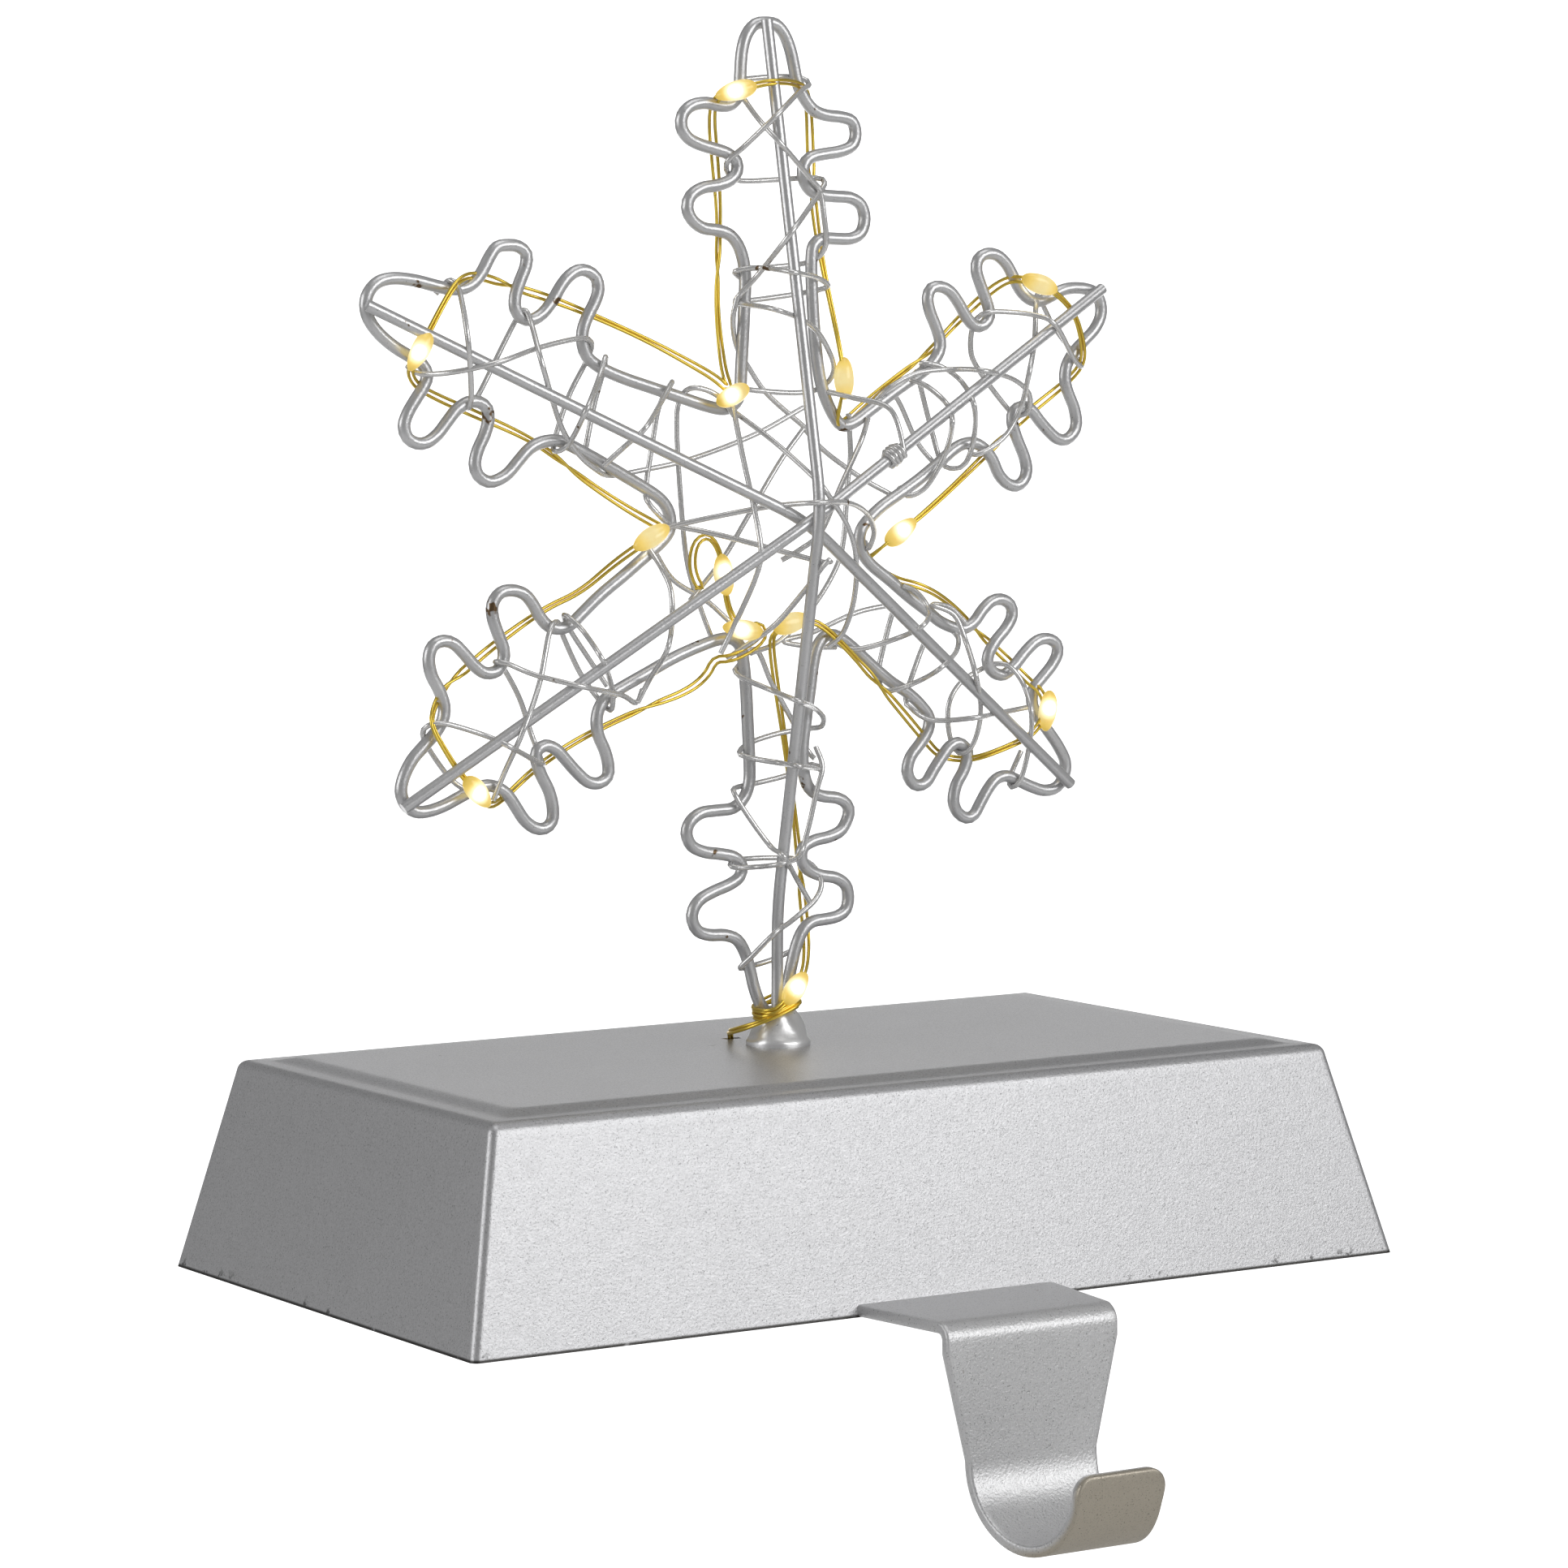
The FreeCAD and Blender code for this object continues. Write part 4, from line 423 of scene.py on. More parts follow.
# The snowflake's outline is one length of 1.8 mm steel wire, bent by hand round a jig into six
# arms with two pairs of knobs each, closed with a weld and sprayed silver. Its bends are uneven,
# so the wire's middle line is given point by point, in millimetres across and up from the middle.
MIDDLE = Vector((0.0, 3.0, 106.3)) * MM
WIRE_R, WIRE_STEP = 0.9, 0.7
OUTLINE = [
    (12.6, 13.2), (10.9, 15.2), (9.5, 18.3), (8.7, 21.8), (8.1, 27.6), (7.8, 33.4), (7.8, 37.1), (8.2, 38.9),
    (9.6, 39.8), (11.9, 39.8), (14.3, 39.8), (16.1, 40.6), (16.8, 42.6), (16.2, 44.6), (14.5, 45.6), (12, 45.8),
    (9.5, 46), (7.6, 46.7), (6.6, 48.3), (6.6, 50.1), (7.7, 51.3), (10, 51.8), (12.7, 52.2), (14.7, 53),
    (15.4, 54.7), (14.8, 56.5), (12.9, 57.1), (10.5, 57.3), (8.4, 58), (6.7, 59.8), (5.6, 62.1), (5.1, 64.3),
    (4.5, 66.6), (3.5, 68.7), (2.1, 70), (0.3, 70.2), (-1.3, 69.9), (-2.7, 68.4), (-3.5, 65.9), (-3.8, 62.5),
    (-4, 60.2), (-5.2, 58.7), (-7, 58.4), (-9.4, 58.8), (-11.8, 58.4), (-13.3, 57.1), (-13.5, 55.4), (-12.5, 53.9),
    (-10.6, 53), (-8.2, 52.4), (-6.1, 51.8), (-4.6, 50.7), (-4.5, 49.2), (-5.6, 48), (-7.7, 47.3), (-10.2, 46.9),
    (-12.1, 45.8), (-12.7, 44.2), (-12, 42.5), (-10.2, 41.3), (-7.9, 41), (-5.9, 40.4), (-4.5, 39), (-3.6, 36.8),
    (-3.3, 34), (-3.5, 30), (-3.8, 25.4), (-4.1, 21.4), (-4.3, 18.5), (-5.1, 16.6), (-7, 15.8), (-9.9, 16.3),
    (-13.9, 17.5), (-19.2, 19.1), (-23.1, 20.3), (-26, 21.4), (-27.9, 22.4), (-29.2, 23.5), (-29.8, 25.1),
    (-29.8, 27), (-29, 29), (-27.8, 31), (-27.2, 32.8), (-27.6, 34.4), (-28.9, 35.3), (-30.4, 35.4), (-31.9, 34.6),
    (-33.2, 33.2), (-34.5, 31.3), (-36.1, 29.5), (-37.9, 28.6), (-39.5, 28.9), (-40.4, 30.1), (-40.4, 31.9),
    (-39.6, 34), (-38.7, 36), (-38.6, 37.7), (-39.8, 38.7), (-41.4, 38.9), (-43.2, 38.6), (-44.4, 37.2),
    (-45.4, 35.5), (-46.7, 33.9), (-48.4, 33), (-50.5, 32.9), (-53, 33.4), (-56.1, 34.1), (-59.2, 34.4),
    (-61.6, 33.9), (-63.1, 32.5), (-63.6, 30.8), (-63.1, 28.8), (-61.6, 26.9), (-59.3, 25.1), (-56.8, 23.7),
    (-55.1, 22.7), (-54.3, 21.2), (-54.9, 19.6), (-56.2, 17.8), (-57.4, 16), (-58, 14.3), (-57.5, 12.7),
    (-56.1, 11.9), (-54.5, 12), (-52.8, 13.1), (-51.2, 14.9), (-49.8, 16.4), (-48, 17.4), (-46.3, 17.4),
    (-45.1, 16.5), (-44.9, 14.9), (-45.5, 12.9), (-46.6, 10.8), (-47.1, 8.9), (-46.6, 7.3), (-45.1, 6.4),
    (-43.6, 6.6), (-41.9, 7.5), (-40.1, 9.3), (-38.5, 10.8), (-36.5, 11.7), (-34.3, 11.9), (-32.6, 11.4),
    (-30.8, 10.6), (-27.2, 8.8), (-23.3, 6.7), (-20, 4.9), (-17.8, 3.5), (-16.5, 2), (-16, 0.2), (-16.3, -1.3),
    (-17.5, -2.7), (-19.5, -4.2), (-23.5, -7.1), (-27.4, -9.8), (-30.7, -12.5), (-32.3, -13.8), (-34, -14.3),
    (-35.8, -13.9), (-37.2, -12.5), (-38.3, -10.7), (-39.6, -9.3), (-41.5, -8.7), (-43.4, -9), (-44.6, -10.5),
    (-44.6, -12.4), (-43.9, -14.5), (-43, -16.8), (-43.1, -18.5), (-44.1, -19.8), (-45.9, -20), (-47.5, -19),
    (-49.2, -17.2), (-50.7, -15.8), (-52.3, -15.3), (-54, -15.9), (-54.7, -17.7), (-54.3, -20), (-53.2, -22),
    (-52.4, -24.3), (-52.7, -26.3), (-54, -28.1), (-55.7, -29.7), (-57.5, -31.5), (-58.8, -33.7), (-59.3, -35.7),
    (-58.7, -37.5), (-57.2, -38.6), (-55.3, -38.7), (-52.8, -38.1), (-50.2, -37), (-47.8, -36), (-45.9, -35.6),
    (-44, -36.1), (-42.5, -37.3), (-41.3, -39), (-40.1, -40.7), (-38.5, -41.9), (-36.9, -42.1), (-35.7, -41.2),
    (-35.5, -39.3), (-36.1, -36.9), (-37.3, -34.6), (-38, -32.6), (-37.9, -31.2), (-36.6, -30.5), (-34.9, -31.1),
    (-33.4, -32.6), (-31.7, -34.4), (-29.9, -35.9), (-28.1, -36.2), (-26.7, -35.4), (-26.5, -33.8), (-27.1, -31.6),
    (-28.1, -29.4), (-28.3, -27.1), (-27.6, -25.2), (-26.1, -23.9), (-23.7, -22.7), (-19.7, -20.9), (-15.7, -19.1),
    (-11.7, -17.7), (-8.3, -16.8), (-6, -16.8), (-4.7, -18), (-4.2, -20.1), (-3.8, -24.1), (-3.6, -28.8),
    (-3.4, -33.4), (-3.4, -37.1), (-4.3, -39.5), (-6.2, -40.9), (-8.9, -41.1), (-11.4, -41.3), (-13.2, -42.4),
    (-13.9, -44.1), (-13.1, -45.9), (-11, -46.9), (-8.6, -47.3), (-6.1, -47.9), (-4.8, -49.2), (-5.2, -50.8),
    (-6.9, -51.8), (-9.4, -52.6), (-11.7, -53.6), (-12.9, -55), (-13.1, -56.6), (-12.2, -58.1), (-10.3, -58.8),
    (-7.7, -59), (-5.7, -59.8), (-4.4, -61.8), (-3.6, -64.3), (-3, -66.7), (-2, -69.2), (-0.7, -70.7), (0.8, -71),
    (1.9, -69.7), (2.6, -67.4), (3.3, -64.4), (4.3, -61.1), (5.5, -59), (7.1, -58), (9.3, -57.8), (11.3, -57.5),
    (12.7, -56.6), (13.1, -54.8), (12.6, -53), (10.9, -51.9), (8.4, -51.4), (6.2, -50.4), (5.2, -48.8),
    (5.6, -47.2), (7.5, -46.3), (10, -45.9), (12.1, -45), (13.3, -42.8), (12.9, -41.3), (11.4, -40.4), (8.5, -39.9),
    (6.6, -38.7), (5.7, -36.3), (5.6, -32.8), (6.2, -28.6), (6.9, -24.5), (7.4, -21.3), (8.1, -18.7), (9.2, -17.2),
    (10.4, -16.8), (11.9, -17.2), (14.1, -18.7), (16.5, -20.7), (18.7, -22.5), (21, -24.2), (23.4, -25.6),
    (25.6, -27.4), (27.2, -29.4), (27, -31.4), (25.6, -33.3), (24, -35.1), (23.4, -37.1), (24, -38.6),
    (25.2, -39.3), (26.7, -38.9), (27.9, -37.3), (29.4, -35.4), (30.8, -33.9), (32.2, -33.4), (33.6, -34.2),
    (33.9, -35.6), (33.2, -37.6), (31.9, -39.6), (31.4, -41.9), (32.1, -43.6), (33.6, -44.5), (35, -44.1),
    (36.1, -42.5), (37.4, -40.6), (38.9, -39.1), (40.7, -38.7), (42.6, -39.4), (45.1, -40.5), (47.5, -41.2),
    (49.7, -40.8), (51, -39.1), (51.2, -37.1), (50, -34.8), (48.4, -32.7), (46.7, -30.6), (45.4, -28.4),
    (45.6, -26.2), (47, -24.7), (48.9, -22.8), (49.9, -21.1), (49.7, -19.6), (48.1, -18.8), (46.2, -19.1),
    (44.2, -20.6), (42.3, -22.5), (40.4, -23.8), (38.6, -23.4), (37.6, -22.2), (37.7, -20.7), (39, -18.8),
    (40.9, -16.9), (41.9, -15.1), (41.5, -13.5), (39.9, -12.7), (38.2, -13), (36.6, -14.3), (35.2, -15.9),
    (33.3, -16.8), (31.4, -16.5), (29.1, -15.5), (27.1, -14), (23.9, -11.8), (20.5, -9.2), (17.6, -7.1),
    (16.1, -5.4), (15.5, -3.6), (15.8, -1.9), (17.1, -0.4), (19.4, 1.4), (22.7, 3.3), (25.9, 5.2), (29.3, 7.5),
    (31.6, 9.2), (33.5, 10.1), (35.5, 10.2), (37.2, 9.3), (38.6, 7.7), (39.6, 5.7), (41, 4.3), (42.7, 3.8),
    (44, 4.5), (44.6, 6), (44.2, 8), (42.9, 10.8), (42.1, 13.2), (42.4, 14.7), (43.8, 15.4), (45.4, 14.9),
    (46.8, 13.4), (48.3, 11.9), (50, 10.6), (51.6, 10.4), (52.9, 11.3), (53.5, 12.8), (53.1, 15), (52, 17.4),
    (51.5, 19.3), (51.8, 21.3), (53.1, 23.2), (55, 24.9), (56.7, 26.4), (57.9, 28.4), (57.9, 30.4), (56.9, 31.9),
    (55.2, 32.5), (52.7, 32.6), (50.7, 32.2), (48.8, 31.3), (46.9, 30.7), (45.1, 31.1), (43.5, 32.5), (42.2, 34.7),
    (41, 36.4), (39.4, 37.5), (37.6, 37.6), (36.3, 36.8), (36, 35.2), (36.8, 32.9), (37.9, 30.3), (38.2, 28.6),
    (37.2, 27.3), (35.6, 27.2), (34.2, 28.5), (32.8, 30.6), (31.4, 32.2), (29.8, 32.9), (28.2, 32.7), (27.5, 31.3),
    (27.9, 29.3), (28.9, 27.1), (29.6, 25.1), (29.4, 23.5), (28.1, 21.8), (26, 20.3), (23.8, 19.1), (21.4, 17.7),
    (19, 16.2), (16.8, 14.8), (14.6, 13.5),
]


def soft(points, step, closed=False):
    """A soft curve through the points, in metres as they are, with a point about every step."""
    count = len(points)
    path = []
    for i in range(count if closed else count - 1):
        here, there = points[i], points[(i + 1) % count]
        before = points[i - 1] if closed or i else here * 2 - there
        after = points[(i + 2) % count] if closed or i + 2 < count else there * 2 - here
        a, b, c = (max(0.05, (q - p).length) ** 0.5 for p, q in ((before, here), (here, there), (there, after)))
        out = (here - before) * (b / a) - (there - before) * (b / (a + b)) + (there - here)
        into = (there - here) - (after - here) * (b / (b + c)) + (after - there) * (b / c)
        parts = max(1, round((there - here).length / step))
        for t in (k / parts for k in range(parts)):
            path.append(here * (2 * t**3 - 3 * t**2 + 1) + out * (t**3 - 2 * t**2 + t)
                        + there * (3 * t**2 - 2 * t**3) + into * (t**3 - t**2))
    if not closed:
        path.append(points[-1])
    return path


def in_front(across, depth, up):
    """A place in metres; across and up from the snowflake's middle, depth towards the front."""
    return MIDDLE + Vector((across, -depth, up)) * MM


def sections(path, closed):
    """For each point of a path the two directions square to the wire, with no twist between them."""
    count = len(path)
    ways = []
    for i in range(count):
        before = path[i] - path[i - 1] if closed or i else path[1] - path[0]
        after = path[(i + 1) % count] - path[i] if closed or i < count - 1 else before
        ways.append((before.normalized() + after.normalized()).normalized())
    side = ways[0].orthogonal().normalized()
    pairs = []
    for way in ways:
        side = (side - way * side.dot(way)).normalized()
        pairs.append((side, way.cross(side)))
    if closed:
        way, start = ways[0], pairs[0][0]
        last = (side - way * side.dot(way)).normalized()
        twist = atan2(last.cross(start).dot(way), last.dot(start))
        for i, (u, v) in enumerate(pairs):
            turn = twist * i / count
            pairs[i] = (u * cos(turn) + v * sin(turn), v * cos(turn) - u * sin(turn))
    return pairs


def wires(name, paths, radius, material, sides, closed=False):
    """Round wires along paths in metres, square cut at their ends, as one piece."""
    points, faces = [], []
    for path in paths:
        faces += ring_faces(len(points), len(path), sides, closed)
        for place, (u, v) in zip(path, sections(path, closed)):
            for turn in (2 * pi * k / sides for k in range(sides)):
                points.append(place + (u * cos(turn) + v * sin(turn)) * (radius * MM))
    return mesh_object(name, points, faces, material)


wire_silver = surface("wire_silver", (0.69, 0.69, 0.695), 0.75, 0.35, grain=2200.0, vary=0.05,
                      bump=0.3, fleck=0.31, chip=0.29)
line = soft([in_front(x, 0, z) for x, z in OUTLINE], WIRE_STEP * MM, closed=True)
flake = wires("snowflake_wire", [line], WIRE_R, wire_silver, sides=16, closed=True)
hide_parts("snowflake_outline")
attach(flake, "holder")

# Three straight rods cross over the middle, each bent once so that it bows forward, and are
# welded to the arms' tips; the upright one is bent once more low down. Their ends are cut square.
ROD_R, ROD_BEND = 0.85, 5.0
RODS = {
    "upright": [(-0.4, 1.8, 70.4), (0.2, 14.2, 2.0), (-0.2, 2.1, -55.5), (-0.2, 1.8, -70.6)],
    "rising": [(-59.9, 1.8, -38.0), (0.0, 12.4, 0.3), (57.0, 1.8, 32.5)],
    "falling": [(-64.3, 1.8, 30.8), (0.0, 10.8, 0.0), (50.9, 1.8, -40.3)],
}
rod_silver = surface("rod_silver", (0.69, 0.69, 0.695), 0.75, 0.33, grain=2200.0, vary=0.05,
                     bump=0.3, fleck=0.31, chip=0.29)
for name, corners in RODS.items():
    corners = [in_front(*place) for place in corners]
    path = [corners[0]]
    for before, corner, after in zip(corners, corners[1:], corners[2:]):
        back, on = ((place - corner).normalized() * (ROD_BEND * MM) for place in (before, after))
        path += [corner + back * (1 - t)**2 + on * t**2 for t in (k / 10 for k in range(11))]
    rod = wires("rod_" + name, [path + [corners[-1]]], ROD_R, rod_silver, sides=18)
    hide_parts("ridge_rod_" + name)
    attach(rod, "holder")

# Thin bright wire is wound by hand round each arm and over its rod, in several lengths, with a
# small coil on the upper right rod; more of it crosses the middle. It hooks round the outline
# with small loops and bows a little between them. Places are (across, depth, up) in millimetres.
BINDING_R, BINDING_STEP = 0.40, 0.8
BINDINGS = {"top": [
    [(-2.2, -1.3, 62.3), (2.8, -1.4, 62.7), (7, -1.2, 62.6), (7.5, 0.2, 61.6), (5, 1.6, 60.5), (-0.9, 5.3, 57.1),
     (-4.5, 1.7, 52.5), (-6.4, 0.8, 50.8), (-5.5, -0.9, 49.1), (-3.1, -1.4, 48), (3.4, -1.5, 48.2),
     (9.2, -1.2, 48.5), (9.9, 0.3, 47.8), (7.9, 1.7, 46), (-0.3, 8.1, 40.8), (-2.4, 2.2, 34.8), (-5, 0.8, 31.6),
     (-3.5, -1.1, 31), (3.2, -1.5, 31.6), (9.5, -1.1, 32.5), (10.3, 0.4, 33.2), (7.3, 1.9, 34.3), (-0.6, 9.1, 34.9),
     (-2.3, 2.2, 35.7), (-5.2, 0.4, 35.2), (-3, -1.2, 34)],
    [(-4.5, 1.6, 59.7), (-2.7, 3.2, 56.4), (-0.4, 6.1, 52.5), (6.8, 1.8, 48.1), (8.5, 1.3, 46.5), (9.2, 1.3, 42.6),
     (9.7, 0.9, 39.1), (9.2, -0.4, 37.2), (7.3, -1.4, 36.3), (1.9, -1.5, 35.8), (-1.5, -1.4, 35.6)],
    [(-5.2, 1, 31.6), (-5.6, 0.4, 28.6), (-4.3, -1, 24.8), (-2, -1.5, 21.7), (1.1, -1.5, 17.8), (7.4, -1.5, 12.9)],
    [(-4.9, -0.3, 30.8), (-4.7, 1.6, 30.6), (-3.9, 10.1, 29.6), (5.6, 3.4, 27.4), (9.2, 2, 24.1), (11, 0.6, 20.9),
     (9.9, -1.1, 18.6), (5.8, -1.5, 17.9), (-2.4, -1.3, 18.5), (-5.1, 0.2, 19.1)],
], "upper_left": [
    [(-52.2, -1.2, 32.2), (-51, -0.8, 33.6), (-50.9, 0.9, 34.1), (-50.1, 1.8, 32.7), (-50.4, 4.7, 25.8),
     (-48.4, 1.7, 18), (-48.2, 0.3, 16.6), (-45.6, -1.3, 18.5), (-41.6, -1.5, 25.2), (-39.4, -1.1, 29.1),
     (-39.3, 0.8, 29.9), (-38.9, 1.8, 28), (-39.7, 6.2, 22.4), (-35, 2.6, 14.2), (-31.6, 1.4, 10.1),
     (-28.3, 0.8, 7.7), (-25.2, -0.8, 6.8), (-19.8, -1.5, 7.4), (-11.8, -1.5, 8.8), (-1, -1.5, 12.1),
     (7.1, -1.4, 15.8)],
    [(-56.9, -0.8, 22.4), (-56.2, 1.7, 21.4), (-51.5, 2.6, 21.6), (-46, 5.4, 22.9), (-38.5, 3.4, 24.8),
     (-31.2, 1.8, 26), (-28.6, 0.4, 25.2), (-28.6, -1.2, 22.8), (-31.4, -1.5, 17.8), (-33.9, -1.2, 11.6),
     (-34.5, 0.6, 10.4), (-33.1, 1.8, 11.6), (-33.4, 7.2, 16.2), (-28.6, 2.4, 20.6), (-26.7, 0.9, 23.4),
     (-25.9, -1, 21.7), (-27.3, -1.5, 16.6), (-28.8, -1.3, 10.7)],
    [(-27.6, 1.6, 8.3), (-25.5, 4, 11), (-24.8, 8.4, 13.5), (-19.2, 3.4, 17.1), (-15.8, 0.6, 19.8),
     (-16.9, -1.2, 16.4), (-18, -1.5, 10.7), (-19.2, -1.2, 5.1), (-20, 0.6, 3.1), (-18.5, 1.2, 1.1),
     (-16.8, 1, -0.3)],
    [(-6, 1, 14.9), (-8.3, 1.8, 17.2), (-10.9, 1.6, 18.6), (-13.2, 1, 18.8), (-13.6, -1, 17.3), (-13.9, -1.5, 14.1),
     (-13.5, -1.5, 4.9), (-12.5, -1.5, -5.4), (-10.5, -1.5, -11.8), (-8.4, -1, -17.6)],
], "lower_left": [
    [(-47.8, -1.2, -36.7), (-50.7, -1.5, -34.6), (-54, -1.3, -30.5), (-55.6, -0.4, -28.1), (-55.5, 1, -26.8),
     (-53.1, 1.8, -26.6), (-47.4, 3, -28.5), (-45.2, 5.4, -29.9), (-41.1, 3, -31.6), (-37.8, 1.2, -33),
     (-37, -0.6, -32.4), (-38, -1.4, -29), (-39.8, -1.5, -23.8), (-42.7, -1.2, -19.1), (-44.6, 0.5, -18.5),
     (-43.4, 1.7, -18.7), (-39.6, 3, -20.4), (-34.6, 7.4, -22), (-25.6, 2.2, -23.8), (-22.4, 0.9, -25.1),
     (-20.6, -0.4, -23.4)],
    [(-45.6, 1.2, -37.6), (-44.4, 2.4, -33.7), (-43.2, 5.8, -27.7), (-39.2, 3.4, -21.3), (-36.7, 1.8, -14.7),
     (-34.6, 0.4, -13.3), (-32.8, -1.2, -15.6), (-30, -1.5, -20.8), (-27.2, -1.2, -24.6), (-26.3, 0.4, -26),
     (-26.6, 1.7, -24.4), (-27.9, 3.2, -21.6), (-31.9, 8, -18.2), (-31.9, 3.2, -14.8), (-32.9, 1.6, -13.1),
     (-33.5, 0.3, -12.4), (-31.8, -1.2, -14.5), (-28.3, -1.5, -19.2), (-25.9, -1.2, -22.7)],
    [(-22.1, 0.8, -25.1), (-21, 2.2, -21.9), (-22.2, 9.4, -17.2), (-18.8, 5, -13), (-18.2, 3.6, -9.1),
     (-18.7, 2, -6.3), (-20.1, 1, -3.5)],
    [(-18, -1.2, -3.9), (-14.7, -1.5, -8.2), (-9.3, -1.6, -11.3), (-5.8, -1.2, -14.3)],
], "bottom": [
    [(-5.9, 0.4, -21.1), (-5.7, 1.6, -22.1), (-2.4, 4.5, -24), (-1.6, 10.8, -25.3), (5.3, 3.6, -26.9),
     (8.1, 1.6, -28.5), (8.7, 0.2, -29.9), (7.8, -1.1, -30.2), (2.6, -1.5, -30.7), (-2.4, -1.2, -31.8),
     (-5.2, 0.3, -32.9), (-4.8, 1.7, -33.6), (-0.6, 3.6, -34.5), (-0.7, 9.2, -34.6), (6.1, 2.6, -35.7),
     (8.5, 0.4, -36.1), (7.8, -1.1, -35.4), (3.9, -1.5, -36.8), (-1.7, -1.3, -37.7), (-5.4, -0.2, -38),
     (-6.7, 1.3, -38.7), (-4.6, 2.2, -42.5), (-2, 3.4, -46.4), (-2, 7, -47.6), (2.3, 3, -51), (5.5, 1.8, -55)],
    [(7.4, 0.6, -32.7), (7.9, 1.6, -35.6), (6.8, 1.7, -39.1), (5.4, 1.7, -44.2), (3.8, 1.8, -48),
     (-2.1, 6.9, -48.5), (-4, 2.2, -49.3), (-7, 1, -49.2), (-5.5, -0.9, -48.5), (-0.3, -1.5, -48.5),
     (5, -1.3, -48.9), (7.2, -0.4, -49.8), (8, 0.9, -52.1), (6.5, 1.7, -54.6), (1.6, 3, -57.3), (-2.5, 5.1, -58.6),
     (-4.8, 2.2, -62.2), (-5.7, 0.8, -63.7), (-3.5, -1.1, -64), (0.9, -1.5, -63.3), (4.2, -1.3, -62.2)],
    [(-5.3, -0.6, -21.3), (-1.4, -1.4, -18.5), (1.3, -1.5, -23.3), (4.6, -1.5, -28.7), (7.2, -1.3, -33.4),
     (8, -0.6, -34.6)],
], "lower_right": [
    [(32.8, 1.4, -15.9), (30.2, 1.2, -13.5), (26.8, 1.6, -13), (30.1, 2.4, -14.5), (31.5, 3.4, -18.4),
     (31.1, 6.7, -23.5), (34.4, 2.8, -29.2), (33.9, 1.7, -33.4), (32.9, 0.6, -34.9), (32.2, -1, -34.3),
     (31.5, -1.4, -31.1), (31.8, -1.5, -27.5), (34, -1.5, -24.6), (38, -1.1, -22.6), (38.9, 0.4, -22.1),
     (40.5, 1.6, -22.6), (42.2, 2.6, -25.4), (41.8, 5.1, -29.4), (43.3, 2.2, -34.4), (42.4, 1.3, -39.2),
     (41.5, 0.2, -40.4), (42.1, -1.1, -39.1), (44.4, -1.5, -35.3)],
    [(43.6, 1.2, -28.7), (37.6, 2.6, -29.2), (31.7, 6.2, -29.3), (28.1, 3, -29.8), (25.4, 1.8, -29.4),
     (23.6, 0.8, -27.9), (23.6, -0.6, -26.5), (26.2, -1.4, -21.3), (27.6, -1.4, -18.4)],
    [(31.3, -0.6, -16.8), (31.7, 1, -17.9), (30.1, 3, -19.8), (24.5, 7.6, -21.7), (23.9, 3.2, -23.7),
     (20.6, 1.8, -25), (19.2, 0.6, -25.1), (19.3, -1.2, -22.8), (21.4, -1.5, -15.9), (22.3, -1.4, -13.5)],
    [(22.2, 1, -10.1), (24, 2, -11.1), (24.7, 4, -13.6), (20.8, 8.5, -15.5), (19.2, 4, -17.5), (14.2, 2, -18.9),
     (12.2, 0.8, -18.6), (10.6, -1, -17.2)],
], "upper_right": [
    [(47.3, -1, 31.7), (45.3, 1.6, 29.7), (44.1, 3, 25), (40.8, 6.4, 20.3), (42.1, 2.4, 15.5), (39.9, 1.8, 11.4),
     (36.4, 1.6, 9.1), (34.6, 0.8, 8.6), (34.6, -1, 9.7), (29.1, -1.2, 7.5)],
    [(48.2, -1.2, 30.6), (50.8, -1.5, 26.7), (54.4, -0.8, 22.1), (54, 0.6, 21.1), (51.7, 1.8, 22.5),
     (46.3, 5.1, 27.3), (44, 3.2, 28.7), (39.9, 1.9, 29.2), (36.6, 1.5, 29.1), (35.9, -0.6, 27.6),
     (35.9, -1.5, 23.9), (37.2, -1.5, 20.9), (42.4, -1.3, 14.9), (43.9, -0.4, 14.1), (44.4, 1, 14.9),
     (43.8, 1.9, 17.3), (40.8, 2.6, 19.3), (32.6, 7.5, 20.7), (29.9, 3, 21), (24.3, 2, 20.5), (19.9, 1.2, 18.4),
     (18.8, -0.3, 16.8)],
    [(27.8, -0.6, 21), (25.8, 0.8, 21.9), (28.6, 1.8, 21.4), (31.3, 3, 19.2), (30, 8.2, 15.8), (33.8, 2.4, 11),
     (33, 1.4, 7.4), (31.6, 0.4, 6.6), (30.3, -0.9, 7.5), (29, -1.5, 12.2), (27.2, -1.4, 18.1), (26.3, -1.2, 21)],
    [(24.4, -0.8, 18.7), (24, 0.8, 19.5), (26.2, 2.2, 18.4), (28.4, 3.8, 15.8), (25.7, 9, 13.5), (28.6, 3.4, 9.9),
     (27.7, 1.9, 6.4), (25.8, 1.2, 3.7), (23.5, 0.4, 2.8), (23, -1, 4.1)],
    [(9.9, 0.8, 18), (11.9, 4, 17.2), (15.6, 8.5, 15.4), (16.7, 10.4, 8.9), (16.1, 10.6, 9.8), (15.6, 9.9, 10.4),
     (15.3, 8.8, 10.2), (15.6, 8.2, 9.3), (16.1, 8.6, 8.4), (16.3, 9.6, 8.1), (16.1, 10.5, 8.6), (15.5, 10.7, 9.5),
     (14.9, 10, 10.1), (14.7, 8.9, 9.9), (15, 8.3, 9), (15.4, 8.7, 8), (15.7, 9.7, 7.7), (15.4, 10.6, 8.2),
     (14.8, 10.8, 9.1), (14.3, 10.1, 9.7), (14.1, 9.1, 9.5), (14.3, 8.5, 8.6), (14.8, 8.8, 7.7), (15, 9.8, 7.4),
     (14.8, 10.8, 7.9), (14.2, 10.9, 8.7), (13.6, 10.2, 9.3)],
